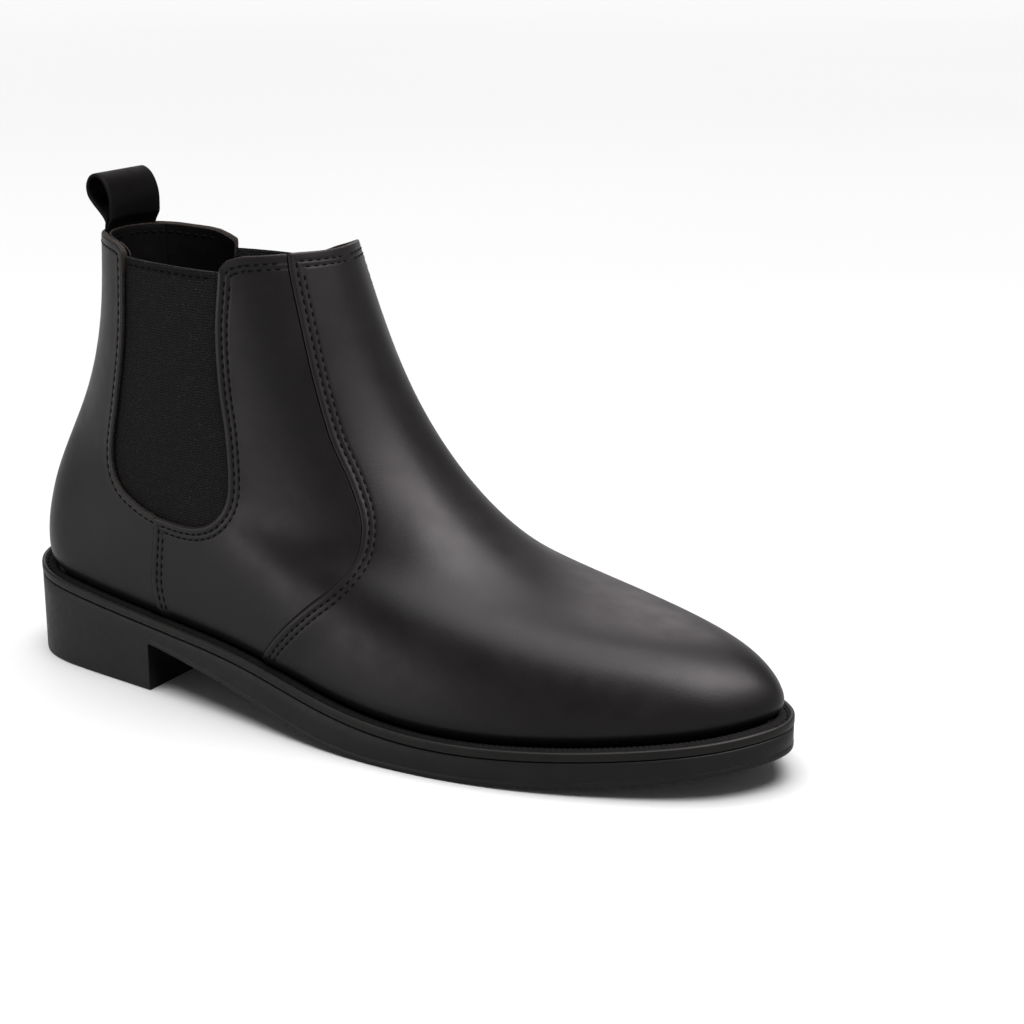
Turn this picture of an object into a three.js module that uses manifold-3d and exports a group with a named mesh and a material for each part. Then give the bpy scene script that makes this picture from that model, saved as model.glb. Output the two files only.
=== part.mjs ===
// A man's right chelsea boot with a leather upper, elastic side gores and a rubber sole unit.
// Units are millimetres. X runs from heel to toe, -Y is the lateral (outer) side, +Z is up.
// The upper is a stack of offset layers of one smooth boot surface. Each panel is a layer cut
// along its seams, and the seams are drawn in the side view like a paper pattern.
import * as THREE from "three";
import Module from "manifold-3d";
import { mergeVertices } from "three/addons/utils/BufferGeometryUtils.js";

const wasm = await Module();
wasm.setup();

// ---------- driving dimensions ----------

// Outsole outline in plan: heel tip, lateral side, toe tip, medial side.
const HEEL_TIP = [-152, 0];
const TOE_TIP = [152, 2];
const LATERAL_EDGE = [
  [-140, -23], [-117, -31.5], [-80, -37], [-40, -44], [0, -51],
  [40, -53.3], [78, -48], [112, -36.5], [136, -23.5], [148, -10],
];
const MEDIAL_EDGE = [
  [147, 15], [134, 28], [114, 39.5], [86, 49.5], [52, 53.3], [12, 46],
  [-30, 36], [-75, 31.5], [-117, 30], [-140, 22],
];

// Side view of the sole: top of the welt, and the tread from the heel breast to the toe.
const WELT_TOP = {
  x: [-152, -110, -70, -30, 10, 45, 80, 115, 152],
  z: [35.5, 31, 27.5, 24, 16.5, 13.2, 14, 17, 22],
};
const TREAD = {
  x: [-80, -55, -30, 0, 25, 50, 70, 90, 120, 152],
  z: [18, 14.2, 9.5, 2.6, 0, 0, 0.6, 2, 5.6, 10.5],
};
const HEEL_BREAST_X = -80;
const TOP_PIECE = 6;
const WELT = { thickness: 3.2, width: 4.6, clearance: 0.4 };

const OVAL_EXPONENT = 0.9;

// Layers of the upper, as depths below the outer face of the leather.
const OUTER = [0, 1.3];
const MIDDLE = [1.6, 2.4];
const LINING = [2.7, 3.4];
const SEAM_GAP = 0.35;

// Pattern lines in the side view, as [x, z].
// The top edge of the upper, from the back to the front. It dips over the gore, and on the
// medial side it dips lower and rises later.
const COLLAR = {
  lateral: [
    [-114, 161.3], [-104, 160.9], [-98, 160.4], [-93, 159.7], [-90.5, 158.6], [-88.8, 157.2],
    [-88.2, 156.3], [-46, 154.4], [-45.2, 156.4], [-43.2, 158.5], [-38, 160.1], [-30, 160.7],
    [-22, 161.4], [-10, 161.6],
  ],
  medial: [
    [-114, 161.3], [-108, 160.8], [-103, 160.2], [-97.7, 159.3], [-92.2, 158.6], [-88.5, 157.8],
    [-85, 156.2], [-82.5, 154.6], [-80.6, 151.6], [-50, 151.5], [-46, 152.4], [-40, 154.6],
    [-34, 156.8], [-28, 158.6], [-22, 160.6], [-17, 161.6], [-10, 161.6],
  ],
};
const GORE_TOP = {
  lateral: [[-90, 156.2], [-46, 154.2]],
  medial: [[-84, 151.4], [-46, 151.3]],
};
const GORE_BACK_EDGE = {
  lateral: [[-88, 170], [-89.5, 140], [-91.5, 122], [-95.5, 104], [-100.5, 84], [-97, 73.5]],
  medial: [[-80.5, 170], [-83.5, 140], [-88, 122], [-94, 104], [-100, 84], [-97, 73.5]],
};
const GORE_BOTTOM = [[-87, 68], [-76, 65.3], [-65, 64.5], [-56, 65.4]];
const GORE_FRONT_EDGE = [
  [-48.5, 68.8], [-43.5, 75.5], [-42.4, 85], [-43.5, 100], [-46, 116], [-47.3, 135], [-46.5, 152],
];
const VAMP_SEAM = [
  [-26, 175], [-24.5, 160], [-20, 143], [-13, 120], [-5.6, 101], [2.5, 87], [8, 76],
  [9.5, 67], [8, 60], [4, 54.5], [-4, 47.5], [-14, 38], [-21, 30], [-28, 20], [-34, 5],
];
const SIDE_SEAM = [[-77, 64.9], [-78.5, 50], [-79, 40], [-77, 31], [-72, 15], [-70, 0]];
const COUNTER_EDGE = [
  [-175, 82], [-126, 82], [-112, 67], [-98, 56], [-78, 47], [-60, 39], [-54, 25], [-54, 0],
];
const TOE_PUFF_X = 104;
const VAMP_LINING_SEAM = [[-30, 175], [-22, 140], [-8, 100], [-4, 70], [-12, 40], [-22, 0]];
const HEEL_GRIP_X = -107;
const GORE_LAP = 6;

// Pull tab: a folded strap. The loop stands above the collar, its tails are sewn in below.
const TAB = { width: 27, strap: 1.4, tails: [146, 161.9] };
const TAB_LOOP = [
  [-106.6, 162.9], [-107.9, 164], [-109.2, 166], [-111.4, 168.3], [-113.8, 170.6], [-116, 173.4],
  [-116.6, 177], [-115.2, 180.2], [-112.2, 181.6], [-109, 180.3], [-106.6, 177.2], [-105.1, 172.8],
  [-104.9, 168.2], [-105.3, 164], [-106.6, 162.9],
];

// Bottom parts, as heights above the seat on which the upper rests.
const BOARD = { bottom: 4.7, top: 6.7, inset: 12.6 };
const FOAM = { bottom: 7, top: 9, inset: 10.6 };
const SOCK = { bottom: 9.3, top: 10.3, inset: 10 };
const FILLER = { bottom: 0.3, top: 4.2, inset: 21.5, x: [-12, 122] };
const SHANK = { bottom: 1.2, top: 2.8, halfWidth: 7, x: [-108, -18] };
const NAIL = { radius: 1, clearance: 0.35, bottomZ: 1.5, topZ: 17 };
const NAIL_PLACES = [[-139, 0], [-126, -18], [-126, 18], [-96, -21], [-96, 19]];

// ---------- materials ----------

const leather = (colour) => new THREE.MeshStandardMaterial({ color: colour, roughness: 0.45, metalness: 0 });
const BLACK_LEATHER = leather(0x17171a);
const LINING_LEATHER = leather(0x232021);
const RUBBER = new THREE.MeshStandardMaterial({ color: 0x141515, roughness: 0.55, metalness: 0 });
const ELASTIC = new THREE.MeshStandardMaterial({ color: 0x121214, roughness: 0.9, metalness: 0 });
const FIBRE_BOARD = new THREE.MeshStandardMaterial({ color: 0x9a7b58, roughness: 0.9, metalness: 0 });
const CORK = new THREE.MeshStandardMaterial({ color: 0xb08a5c, roughness: 0.95, metalness: 0 });
const FOAM_RUBBER = new THREE.MeshStandardMaterial({ color: 0xc9c1b0, roughness: 0.95, metalness: 0 });
const STEEL = new THREE.MeshStandardMaterial({ color: 0x8c8f94, roughness: 0.35, metalness: 1 });

// ---------- curves ----------

// Natural cubic spline through (xs, ys); returns y as a function of x.
function spline(xs, ys) {
  const n = xs.length;
  const second = new Array(n).fill(0);
  const pivot = new Array(n).fill(0);
  for (let i = 1; i < n - 1; i++) {
    const before = xs[i] - xs[i - 1];
    const after = xs[i + 1] - xs[i];
    const bend = 6 * ((ys[i + 1] - ys[i]) / after - (ys[i] - ys[i - 1]) / before);
    const width = 2 * (before + after) - before * pivot[i - 1];
    pivot[i] = after / width;
    second[i] = (bend - before * second[i - 1]) / width;
  }
  for (let i = n - 2; i > 0; i--) second[i] -= pivot[i] * second[i + 1];
  return (x) => {
    let i = 0;
    while (i < n - 2 && x > xs[i + 1]) i++;
    const h = xs[i + 1] - xs[i];
    const a = xs[i + 1] - x;
    const b = x - xs[i];
    return (second[i] * a ** 3 + second[i + 1] * b ** 3) / (6 * h)
      + (ys[i] / h - (second[i] * h) / 6) * a
      + (ys[i + 1] / h - (second[i + 1] * h) / 6) * b;
  };
}

// Smooth closed curve through the points, as `count` points.
function closedCurve(points, count) {
  const overlap = 3;
  const ring = [...points.slice(-overlap), ...points, ...points.slice(0, overlap + 1)];
  const knots = [0];
  for (let i = 1; i < ring.length; i++) {
    const step = Math.hypot(ring[i][0] - ring[i - 1][0], ring[i][1] - ring[i - 1][1]);
    knots.push(knots[i - 1] + Math.sqrt(step));
  }
  const xAt = spline(knots, ring.map((p) => p[0]));
  const yAt = spline(knots, ring.map((p) => p[1]));
  const start = knots[overlap];
  const span = knots[overlap + points.length] - start;
  return Array.from({ length: count }, (_, i) => {
    const u = start + (span * i) / count;
    return [xAt(u), yAt(u)];
  });
}

// Smooth open curve through pattern points.
function openCurve(points, count) {
  const curve = new THREE.SplineCurve(points.map((p) => new THREE.Vector2(...p)));
  return curve.getPoints(count).map((p) => [p.x, p.y]);
}

// The closed plan curve moved inwards by `distance`.
function insetCurve(curve, distance) {
  const n = curve.length;
  return curve.map((p, i) => {
    const before = curve[(i + n - 1) % n];
    const after = curve[(i + 1) % n];
    const along = new THREE.Vector2(after[0] - before[0], after[1] - before[1]).normalize();
    return [p[0] - along.y * distance, p[1] + along.x * distance];
  });
}

const weltTopZ = spline(WELT_TOP.x, WELT_TOP.z);
const treadZ = spline(TREAD.x, TREAD.z);
const seatZ = (x) => weltTopZ(x) - WELT.thickness - 0.3;
const planOutline = (count) => closedCurve([HEEL_TIP, ...LATERAL_EDGE, TOE_TIP, ...MEDIAL_EDGE], count);

// ---------- the boot surface ----------

// A point at the front or back of a section, at a height above the seat.
const onSeat = (x, height) => [x, seatZ(x) + height];

// Sections of the boot surface from the turned-in lasting margin up to the collar.
// front and back are [x, z]; lateral and medial are half widths; oval blends the sole outline
// into an oval; follow is how much of the sole's spring the section keeps; lean is the
// sideways shift of its front end.
const section = (v, front, back, [lateral, medial], oval, follow, lean) =>
  ({ v, front, back, lateral, medial, oval, follow, lean });

const SECTIONS = [
  section(-0.16, onSeat(132.5, 1), onSeat(-132.5, 1), [37, 32.5], 0, 1, 3),
  section(-0.08, onSeat(140.5, 0.8), onSeat(-140.5, 0.8), [44, 39.5], 0, 1, 3),
  section(0, [147.5, 24], [-147.5, 38], [51, 46], 0, 1, 3),
  section(0.05, [147.8, 27.5], [-148.6, 44], [51.4, 46.4], 0.01, 1, 3),
  section(0.2, [138.5, 38], [-146.5, 60], [48.5, 44.5], 0.15, 0.8, 3),
  section(0.34, [115, 45], [-142, 73], [44, 41], 0.35, 0.55, 3),
  section(0.46, [80.5, 50.5], [-135, 87], [39, 37.5], 0.62, 0.28, 3),
  section(0.59, [47.5, 65], [-127, 102], [36, 35], 0.88, 0.08, 2),
  section(0.72, [21, 89], [-120, 119], [34.5, 33.5], 1, 0, 1),
  section(0.86, [0, 123], [-115.5, 139], [33, 32], 1, 0, 0),
  section(1, [-16.5, 165], [-113.5, 162], [31.5, 30], 1, 0, 0),
];

// One half of the feather line, heel to toe: share of the length and of the half width
// against the share of the arc length.
function featherHalf(points, side) {
  const [first, last] = [points[0], points[points.length - 1]];
  const arc = [0];
  for (let i = 1; i < points.length; i++) {
    arc.push(arc[i - 1] + Math.hypot(points[i][0] - points[i - 1][0], points[i][1] - points[i - 1][1]));
  }
  const length = points.map((p) => (p[0] - first[0]) / (last[0] - first[0]));
  const width = points.map((p, i) => side * (p[1] - first[1] - (last[1] - first[1]) * length[i]));
  const widest = Math.max(...width);
  return { arc: arc.map((a) => a / arc[arc.length - 1]), length, width: width.map((w) => w / widest) };
}

function lookUp(xs, ys, x) {
  let low = 0;
  let high = xs.length - 1;
  while (high - low > 1) {
    const middle = (low + high) >> 1;
    if (xs[middle] > x) high = middle;
    else low = middle;
  }
  return THREE.MathUtils.mapLinear(x, xs[low], xs[high], ys[low], ys[high]);
}

const feather = (() => {
  const curve = insetCurve(planOutline(1500), WELT.width);
  const byX = curve.map((p) => p[0]);
  const heel = byX.indexOf(Math.min(...byX));
  const ring = [...curve.slice(heel), ...curve.slice(0, heel)];
  const toe = ring.map((p) => p[0]).indexOf(Math.max(...byX));
  return {
    lateral: featherHalf(ring.slice(0, toe + 1), -1),
    medial: featherHalf([...ring.slice(toe), ring[0]].reverse(), 1),
  };
})();

const sectionAt = (() => {
  const vs = SECTIONS.map((s) => s.v);
  const read = {
    frontX: (s) => s.front[0],
    frontZ: (s) => s.front[1],
    backX: (s) => s.back[0],
    backZ: (s) => s.back[1],
    lateral: (s) => s.lateral,
    medial: (s) => s.medial,
    oval: (s) => s.oval,
    follow: (s) => s.follow,
    lean: (s) => s.lean,
  };
  const splines = Object.entries(read).map(([key, value]) => [key, spline(vs, SECTIONS.map(value))]);
  return (v) => Object.fromEntries(splines.map(([key, at]) => [key, at(v)]));
})();

// A point of the outer face. s goes round the boot: 0 heel, 0..1 lateral, 1 toe, 1..2 medial.
function surfacePoint(s, v) {
  const round = ((s % 2) + 2) % 2;
  const isLateral = round <= 1;
  const t = isLateral ? round : 2 - round;
  const half = isLateral ? feather.lateral : feather.medial;
  const section = sectionAt(v);
  const cosine = Math.cos(Math.PI * t);
  const ovalLength = (1 - Math.sign(cosine) * Math.abs(cosine) ** OVAL_EXPONENT) / 2;
  const ovalWidth = Math.max(Math.sin(Math.PI * t), 0) ** OVAL_EXPONENT;
  const along = THREE.MathUtils.lerp(lookUp(half.arc, half.length, t), ovalLength, section.oval);
  const across = THREE.MathUtils.lerp(lookUp(half.arc, half.width, t), ovalWidth, section.oval);
  const x = THREE.MathUtils.lerp(section.backX, section.frontX, along);
  const y = section.lean * along + (isLateral ? -section.lateral : section.medial) * across;
  const chord = THREE.MathUtils.lerp(weltTopZ(section.backX), weltTopZ(section.frontX), along);
  const level = THREE.MathUtils.lerp(section.backZ, section.frontZ, along);
  const z = level + section.follow * (weltTopZ(x) - chord);
  return new THREE.Vector3(x, y, z);
}

// The same point moved inwards by `depth` along the surface normal.
function layerPoint(s, v, depth) {
  const step = 2e-3;
  const around = surfacePoint(s + step, v).sub(surfacePoint(s - step, v));
  const upwards = surfacePoint(s, v + step).sub(surfacePoint(s, v - step));
  const normal = around.cross(upwards).normalize();
  return surfacePoint(s, v).addScaledVector(normal, -depth);
}

// ---------- solids ----------

function toSolid(geometry) {
  const bare = new THREE.BufferGeometry().setAttribute("position", geometry.getAttribute("position"));
  bare.setIndex(geometry.getIndex());
  const merged = mergeVertices(bare, 1e-4);
  return new wasm.Manifold(new wasm.Mesh({
    numProp: 3,
    vertProperties: merged.getAttribute("position").array,
    triVerts: new Uint32Array(merged.getIndex().array),
  }));
}

function extruded(points, depth) {
  const shape = new THREE.Shape(points.map((p) => new THREE.Vector2(...p)));
  return new THREE.ExtrudeGeometry(shape, { depth, bevelEnabled: false });
}

// A plan outline extruded upwards.
function planPrism(outline, bottom, top) {
  return toSolid(extruded(outline, top - bottom).translate(0, 0, bottom));
}

// A side view outline extruded across the boot, from y = from to y = to.
function sidePrism(outline, from, to) {
  return toSolid(extruded(outline, to - from).rotateX(Math.PI / 2).translate(0, to, 0));
}

// The band between two heights over a range of x, as a side view outline.
function band(lowerZ, upperZ, fromX, toX, steps) {
  const xs = Array.from({ length: steps + 1 }, (_, i) => THREE.MathUtils.lerp(fromX, toX, i / steps));
  return [...xs.map((x) => [x, lowerZ(x)]), ...xs.reverse().map((x) => [x, upperZ(x)])];
}

// Places round the boot, closer together at the heel and toe, and up its sides.
const ROUND_STEPS = 22;
const AROUND = Array.from({ length: 2 * ROUND_STEPS }, (_, i) => {
  const s = i / ROUND_STEPS;
  return s - (0.45 / (2 * Math.PI)) * Math.sin(2 * Math.PI * s);
});
const UPWARDS = [
  -0.16, -0.11, -0.07, -0.035, 0, 0.035, 0.08, 0.14, 0.2, 0.27, 0.35, 0.45, 0.56, 0.68, 0.79, 0.9, 1,
];

// A closed shell between two depths below the outer face, from section v = start upwards.
function shell([outside, inside], start = UPWARDS[0]) {
  const rows = UPWARDS.filter((v) => v >= start);
  const columns = AROUND.length;
  const positions = [];
  for (const depth of [outside, inside]) {
    for (const v of rows) {
      for (const s of AROUND) positions.push(...layerPoint(s, v, depth).toArray());
    }
  }
  const innerStart = rows.length * columns;
  const at = (row, column) => row * columns + (column % columns);
  const triangles = [];
  const quad = (a, b, c, d) => triangles.push(a, b, c, a, c, d);
  for (let column = 0; column < columns; column++) {
    for (let row = 0; row < rows.length - 1; row++) {
      const corners = [at(row, column), at(row, column + 1), at(row + 1, column + 1), at(row + 1, column)];
      const [a, b, c, d] = corners.map((i) => i + innerStart);
      quad(...corners);
      triangles.push(a, c, b, a, d, c);
    }
    for (const [a, b] of [
      [at(0, column + 1), at(0, column)],
      [at(rows.length - 1, column), at(rows.length - 1, column + 1)],
    ]) {
      quad(a, b, b + innerStart, a + innerStart);
    }
  }
  const geometry = new THREE.BufferGeometry();
  geometry.setAttribute("position", new THREE.Float32BufferAttribute(positions, 3));
  geometry.setIndex(triangles);
  return toSolid(geometry);
}

const group = new THREE.Group();
group.name = "chelsea_boot";

function addPart(name, solid, material) {
  const mesh = solid.getMesh();
  const geometry = new THREE.BufferGeometry();
  geometry.setAttribute("position", new THREE.BufferAttribute(new Float32Array(mesh.vertProperties), 3));
  geometry.setIndex(new THREE.BufferAttribute(new Uint32Array(mesh.triVerts), 1));
  geometry.computeVertexNormals();
  const part = new THREE.Mesh(geometry, material);
  part.name = name;
  group.add(part);
}

// ---------- patterns ----------

const FAR = 200;
const SIDES = { lateral: [-FAR, -SEAM_GAP / 2], medial: [SEAM_GAP / 2, FAR] };

// The side view line moved by `distance` to its left, seen in its own direction.
function movedLine(line, distance) {
  return line.map((p, i) => {
    const before = line[Math.max(i - 1, 0)];
    const after = line[Math.min(i + 1, line.length - 1)];
    const along = new THREE.Vector2(after[0] - before[0], after[1] - before[1]).normalize();
    return [p[0] - along.y * distance, p[1] + along.x * distance];
  });
}

const goreLine = (side) => openCurve([...GORE_BACK_EDGE[side], ...GORE_BOTTOM, ...GORE_FRONT_EDGE], 40);
const vampLine = openCurve(VAMP_SEAM, 34);
const sideSeamLine = openCurve(SIDE_SEAM, 10);

// The opening in the leather over the gore, widened by `lap` all round.
function gorePattern(side, lap) {
  const line = movedLine(goreLine(side), -lap);
  return [...line, [line.at(-1)[0], FAR], [line[0][0], FAR]];
}

// Everything in front of, or behind, a line that runs from the collar down to the sole.
const ahead = (line) => [...line, [FAR, line.at(-1)[1]], [FAR, line[0][1]]];
const behind = (line) => [...line, [-FAR, line.at(-1)[1]], [-FAR, line[0][1]]];
const across = (pattern) => sidePrism(pattern, -FAR, FAR);

// Everything above a line drawn from the back of the boot to its front.
const above = (line) => [[-FAR, line[0][1]], ...line, [FAR, line.at(-1)[1]], [FAR, FAR], [-FAR, FAR]];

const aboveCollar = sidePrism(above(COLLAR.lateral), -FAR, 0)
  .add(sidePrism(above(COLLAR.medial), 0, FAR));

// ---------- upper, outer leather ----------

const outerLeather = shell(OUTER);
addPart("vamp", outerLeather.intersect(across(ahead(vampLine))).subtract(aboveCollar), BLACK_LEATHER);

// The side seam carried up through the middle of the gore opening.
const dividingLine = (gap) => movedLine([[-66, FAR], [-68, 80], ...sideSeamLine, [-70, -FAR]], gap);

for (const side of ["lateral", "medial"]) {
  const [from, to] = SIDES[side];
  const panel = (pattern) => sidePrism(pattern, from, to);
  const quarters = outerLeather
    .intersect(panel(behind(movedLine(vampLine, -SEAM_GAP))))
    .subtract(panel(gorePattern(side, 0)));
  addPart(
    "quarter_" + side,
    quarters.intersect(panel(ahead(dividingLine(SEAM_GAP / 2)))).subtract(aboveCollar),
    BLACK_LEATHER,
  );
  addPart(
    "back_quarter_" + side,
    quarters.intersect(panel(behind(dividingLine(-SEAM_GAP / 2)))).subtract(aboveCollar),
    BLACK_LEATHER,
  );
}

// ---------- upper, middle layer: gores, stiffeners and the tails of the pull tab ----------

const middleLayer = shell(MIDDLE, 0);
for (const side of ["lateral", "medial"]) {
  const [from, to] = SIDES[side];
  const gore = sidePrism(gorePattern(side, GORE_LAP), from, to).subtract(across(above(GORE_TOP[side])));
  addPart("gore_" + side, middleLayer.intersect(gore), ELASTIC);
}
const puffLine = [[TOE_PUFF_X, FAR], [TOE_PUFF_X, -FAR]];
addPart("toe_puff", middleLayer.intersect(across(ahead(puffLine))), FIBRE_BOARD);
addPart("heel_counter", middleLayer.intersect(across(openCurve(COUNTER_EDGE, 24))), FIBRE_BOARD);
const [tailsFoot, tailsTop] = TAB.tails;
const tailsPattern = [[-FAR, tailsFoot], [HEEL_GRIP_X, tailsFoot], [-100, tailsTop], [-FAR, tailsTop]];
const tailBlock = sidePrism(tailsPattern, -TAB.width / 2, TAB.width / 2);
addPart("pull_tab_tails", middleLayer.intersect(tailBlock), BLACK_LEATHER);

// The loop: the strap follows the profile, thickness added on its inner side.
const loopOutside = openCurve(TAB_LOOP, 30);
const loopInside = movedLine(loopOutside, -TAB.strap).slice(6, -6).reverse();
addPart(
  "pull_tab_loop",
  sidePrism(loopOutside, -TAB.width / 2, TAB.width / 2)
    .subtract(sidePrism(loopInside, -TAB.width, TAB.width)),
  BLACK_LEATHER,
);

// ---------- upper, lining ----------

const lining = shell(LINING, 0);
const vampLiningLine = openCurve(VAMP_LINING_SEAM, 16);
const gripLine = [[HEEL_GRIP_X, FAR], [HEEL_GRIP_X, -FAR]];
addPart("vamp_lining", lining.intersect(across(ahead(vampLiningLine))).subtract(aboveCollar), LINING_LEATHER);
addPart("heel_grip", lining.intersect(across(behind(gripLine))).subtract(aboveCollar), LINING_LEATHER);
for (const side of ["lateral", "medial"]) {
  const [from, to] = SIDES[side];
  const panel = lining
    .intersect(sidePrism(behind(movedLine(vampLiningLine, -SEAM_GAP)), from, to))
    .intersect(sidePrism(ahead(movedLine(gripLine, SEAM_GAP)), from, to))
    .subtract(sidePrism(gorePattern(side, 0), from, to));
  addPart("quarter_lining_" + side, panel.subtract(aboveCollar), LINING_LEATHER);
}

// ---------- sole ----------

const edge = planOutline(92);
const wholePlan = planPrism(edge, -FAR, FAR);
const aboveSeat = (height) => (x) => seatZ(x) + height;

// A layer with the outline of the sole moved inwards, lying between two heights above the seat.
function layerOfSole(inset, bottom, top, [fromX, toX] = [HEEL_TIP[0], TOE_TIP[0]]) {
  const side = band(aboveSeat(bottom), aboveSeat(top), fromX, toX, 18);
  const outline = insetCurve(edge, inset).filter(([x]) => x > fromX && x < toX);
  return planPrism(outline, -FAR, FAR).intersect(across(side));
}

function pin(radius, bottom, top, [x, y]) {
  const length = top - bottom;
  const cylinder = new THREE.CylinderGeometry(radius, radius, length, 12).rotateX(Math.PI / 2);
  return toSolid(cylinder.translate(x, y, bottom + length / 2));
}

const nailHoles = NAIL_PLACES.map((place) =>
  pin(NAIL.radius + NAIL.clearance, NAIL.bottomZ - FAR, NAIL.topZ + NAIL.clearance, place));
const withNailHoles = (solid) => nailHoles.reduce((rest, hole) => rest.subtract(hole), solid);

// The moulded unit: heel block, waist and forepart under one flat seat.
const underside = band((x) => Math.max(treadZ(x), 0), () => FAR, HEEL_BREAST_X, TOE_TIP[0] + 1, 22);
const heelBlock = [
  [-FAR, TOP_PIECE + SEAM_GAP], [HEEL_BREAST_X, TOP_PIECE + SEAM_GAP], [HEEL_BREAST_X, FAR], [-FAR, FAR],
];
const belowSeat = band(() => -FAR, seatZ, HEEL_TIP[0] - 1, TOE_TIP[0] + 1, 22);
addPart(
  "outsole",
  withNailHoles(wholePlan.intersect(across(heelBlock).add(across(underside))).intersect(across(belowSeat))),
  RUBBER,
);
const topPieceSide = [[-FAR, 0], [HEEL_BREAST_X, 0], [HEEL_BREAST_X, TOP_PIECE], [-FAR, TOP_PIECE]];
addPart("heel_top_piece", withNailHoles(wholePlan.intersect(across(topPieceSide))), RUBBER);
NAIL_PLACES.forEach((place, i) => {
  addPart("heel_nail_" + (i + 1), pin(NAIL.radius, NAIL.bottomZ, NAIL.topZ, place), STEEL);
});

const weltRing = wholePlan
  .subtract(planPrism(insetCurve(edge, WELT.width - WELT.clearance), -FAR, FAR));
const WELT_GAP = 0.3;
const weltSide = band(
  aboveSeat(WELT_GAP), aboveSeat(WELT_GAP + WELT.thickness), HEEL_TIP[0] - 1, TOE_TIP[0] + 1, 22,
);
addPart("welt", weltRing.intersect(across(weltSide)), RUBBER);

addPart("insole_board", layerOfSole(BOARD.inset, BOARD.bottom, BOARD.top), FIBRE_BOARD);
addPart("insole_foam", layerOfSole(FOAM.inset, FOAM.bottom, FOAM.top), FOAM_RUBBER);
addPart("sock", layerOfSole(SOCK.inset, SOCK.bottom, SOCK.top), LINING_LEATHER);
addPart("cork_filler", layerOfSole(FILLER.inset, FILLER.bottom, FILLER.top, FILLER.x), CORK);

const shankSide = band(aboveSeat(SHANK.bottom), aboveSeat(SHANK.top), ...SHANK.x, 12);
addPart("shank", sidePrism(shankSide, -SHANK.halfWidth, SHANK.halfWidth), STEEL);

export default group;
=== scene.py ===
"""The visual model of a chelsea boot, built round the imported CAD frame.

The upper is drawn on one smooth boot surface. A point of it is (t, v): t runs from the heel
to the toe along one side, and v from the feather line (0) up to the collar (1). Pattern lines
are drawn in the side view, as in the CAD part. Lengths are millimetres until an object is made.
"""

import math

import bmesh
import bpy
import numpy as np
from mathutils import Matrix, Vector


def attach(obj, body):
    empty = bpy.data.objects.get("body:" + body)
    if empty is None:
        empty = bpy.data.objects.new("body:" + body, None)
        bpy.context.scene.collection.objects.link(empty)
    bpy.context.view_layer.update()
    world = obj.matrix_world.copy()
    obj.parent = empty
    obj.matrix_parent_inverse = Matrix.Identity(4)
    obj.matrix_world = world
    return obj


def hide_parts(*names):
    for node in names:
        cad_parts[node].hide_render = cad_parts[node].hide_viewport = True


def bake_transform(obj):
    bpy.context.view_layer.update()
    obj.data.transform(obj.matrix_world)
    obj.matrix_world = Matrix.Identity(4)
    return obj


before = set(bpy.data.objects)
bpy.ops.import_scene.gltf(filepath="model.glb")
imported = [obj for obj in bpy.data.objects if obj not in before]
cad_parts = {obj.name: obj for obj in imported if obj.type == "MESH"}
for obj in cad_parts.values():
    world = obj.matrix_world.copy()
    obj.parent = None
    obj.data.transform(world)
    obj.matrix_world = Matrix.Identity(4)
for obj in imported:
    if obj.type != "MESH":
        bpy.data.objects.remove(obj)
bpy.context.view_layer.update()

MM = 0.001

# ---------- driving dimensions ----------

# Plan outline of the sole: heel tip, lateral side, toe tip, medial side.
HEEL_TIP = (-152, 0)
TOE_TIP = (152, 2)
LATERAL_EDGE = [
    (-140, -23), (-117, -31.5), (-80, -37), (-40, -44), (0, -51),
    (40, -53.3), (78, -48), (112, -36.5), (136, -23.5), (148, -10),
]
MEDIAL_EDGE = [
    (147, 15), (134, 28), (114, 39.5), (86, 49.5), (52, 53.3), (12, 46),
    (-30, 36), (-75, 31.5), (-117, 30), (-140, 22),
]

# Side view of the sole, as (x, z).
WELT_TOP = [
    (-152, 35.5), (-110, 31), (-70, 27.5), (-30, 24), (10, 16.5),
    (45, 13.2), (80, 14), (115, 17), (152, 22),
]
TREAD = [
    (-80, 18), (-55, 14.2), (-30, 9.5), (0, 2.6), (25, 0),
    (50, 0), (70, 0.6), (90, 2), (120, 5.6), (152, 10.5),
]
HEEL_BREAST_X = -80
HEEL_SHELF_Z = 18
TOP_PIECE = 6
WELT_WIDTH = 4.6
SEAT_DROP = 3.5

# Sections of the boot surface: v, front x, front z, back x, back z, lateral half width,
# medial half width, share of oval, share of the sole's spring, lean of the front end.
# The two lowest rows give heights above the seat instead of z.
MARGIN_SECTIONS = [
    (-0.16, 132.5, 1, -132.5, 1, 37, 32.5, 0, 1, 3),
    (-0.08, 140.5, 0.8, -140.5, 0.8, 44, 39.5, 0, 1, 3),
]
UPPER_SECTIONS = [
    (0, 147.5, 24, -147.5, 38, 51, 46, 0, 1, 3),
    (0.05, 147.8, 27.5, -148.6, 44, 51.4, 46.4, 0.01, 1, 3),
    (0.2, 138.5, 38, -146.5, 60, 48.5, 44.5, 0.15, 0.8, 3),
    (0.34, 115, 45, -142, 73, 44, 41, 0.35, 0.55, 3),
    (0.46, 80.5, 50.5, -135, 87, 39, 37.5, 0.62, 0.28, 3),
    (0.59, 47.5, 65, -127, 102, 36, 35, 0.88, 0.08, 2),
    (0.72, 21, 89, -120, 119, 34.5, 33.5, 1, 0, 1),
    (0.86, 0, 123, -115.5, 139, 33, 32, 1, 0, 0),
    (1, -16.5, 165, -113.5, 162, 31.5, 30, 1, 0, 0),
]
OVAL_EXPONENT = 0.9
LOWEST_V = -0.05

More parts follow.
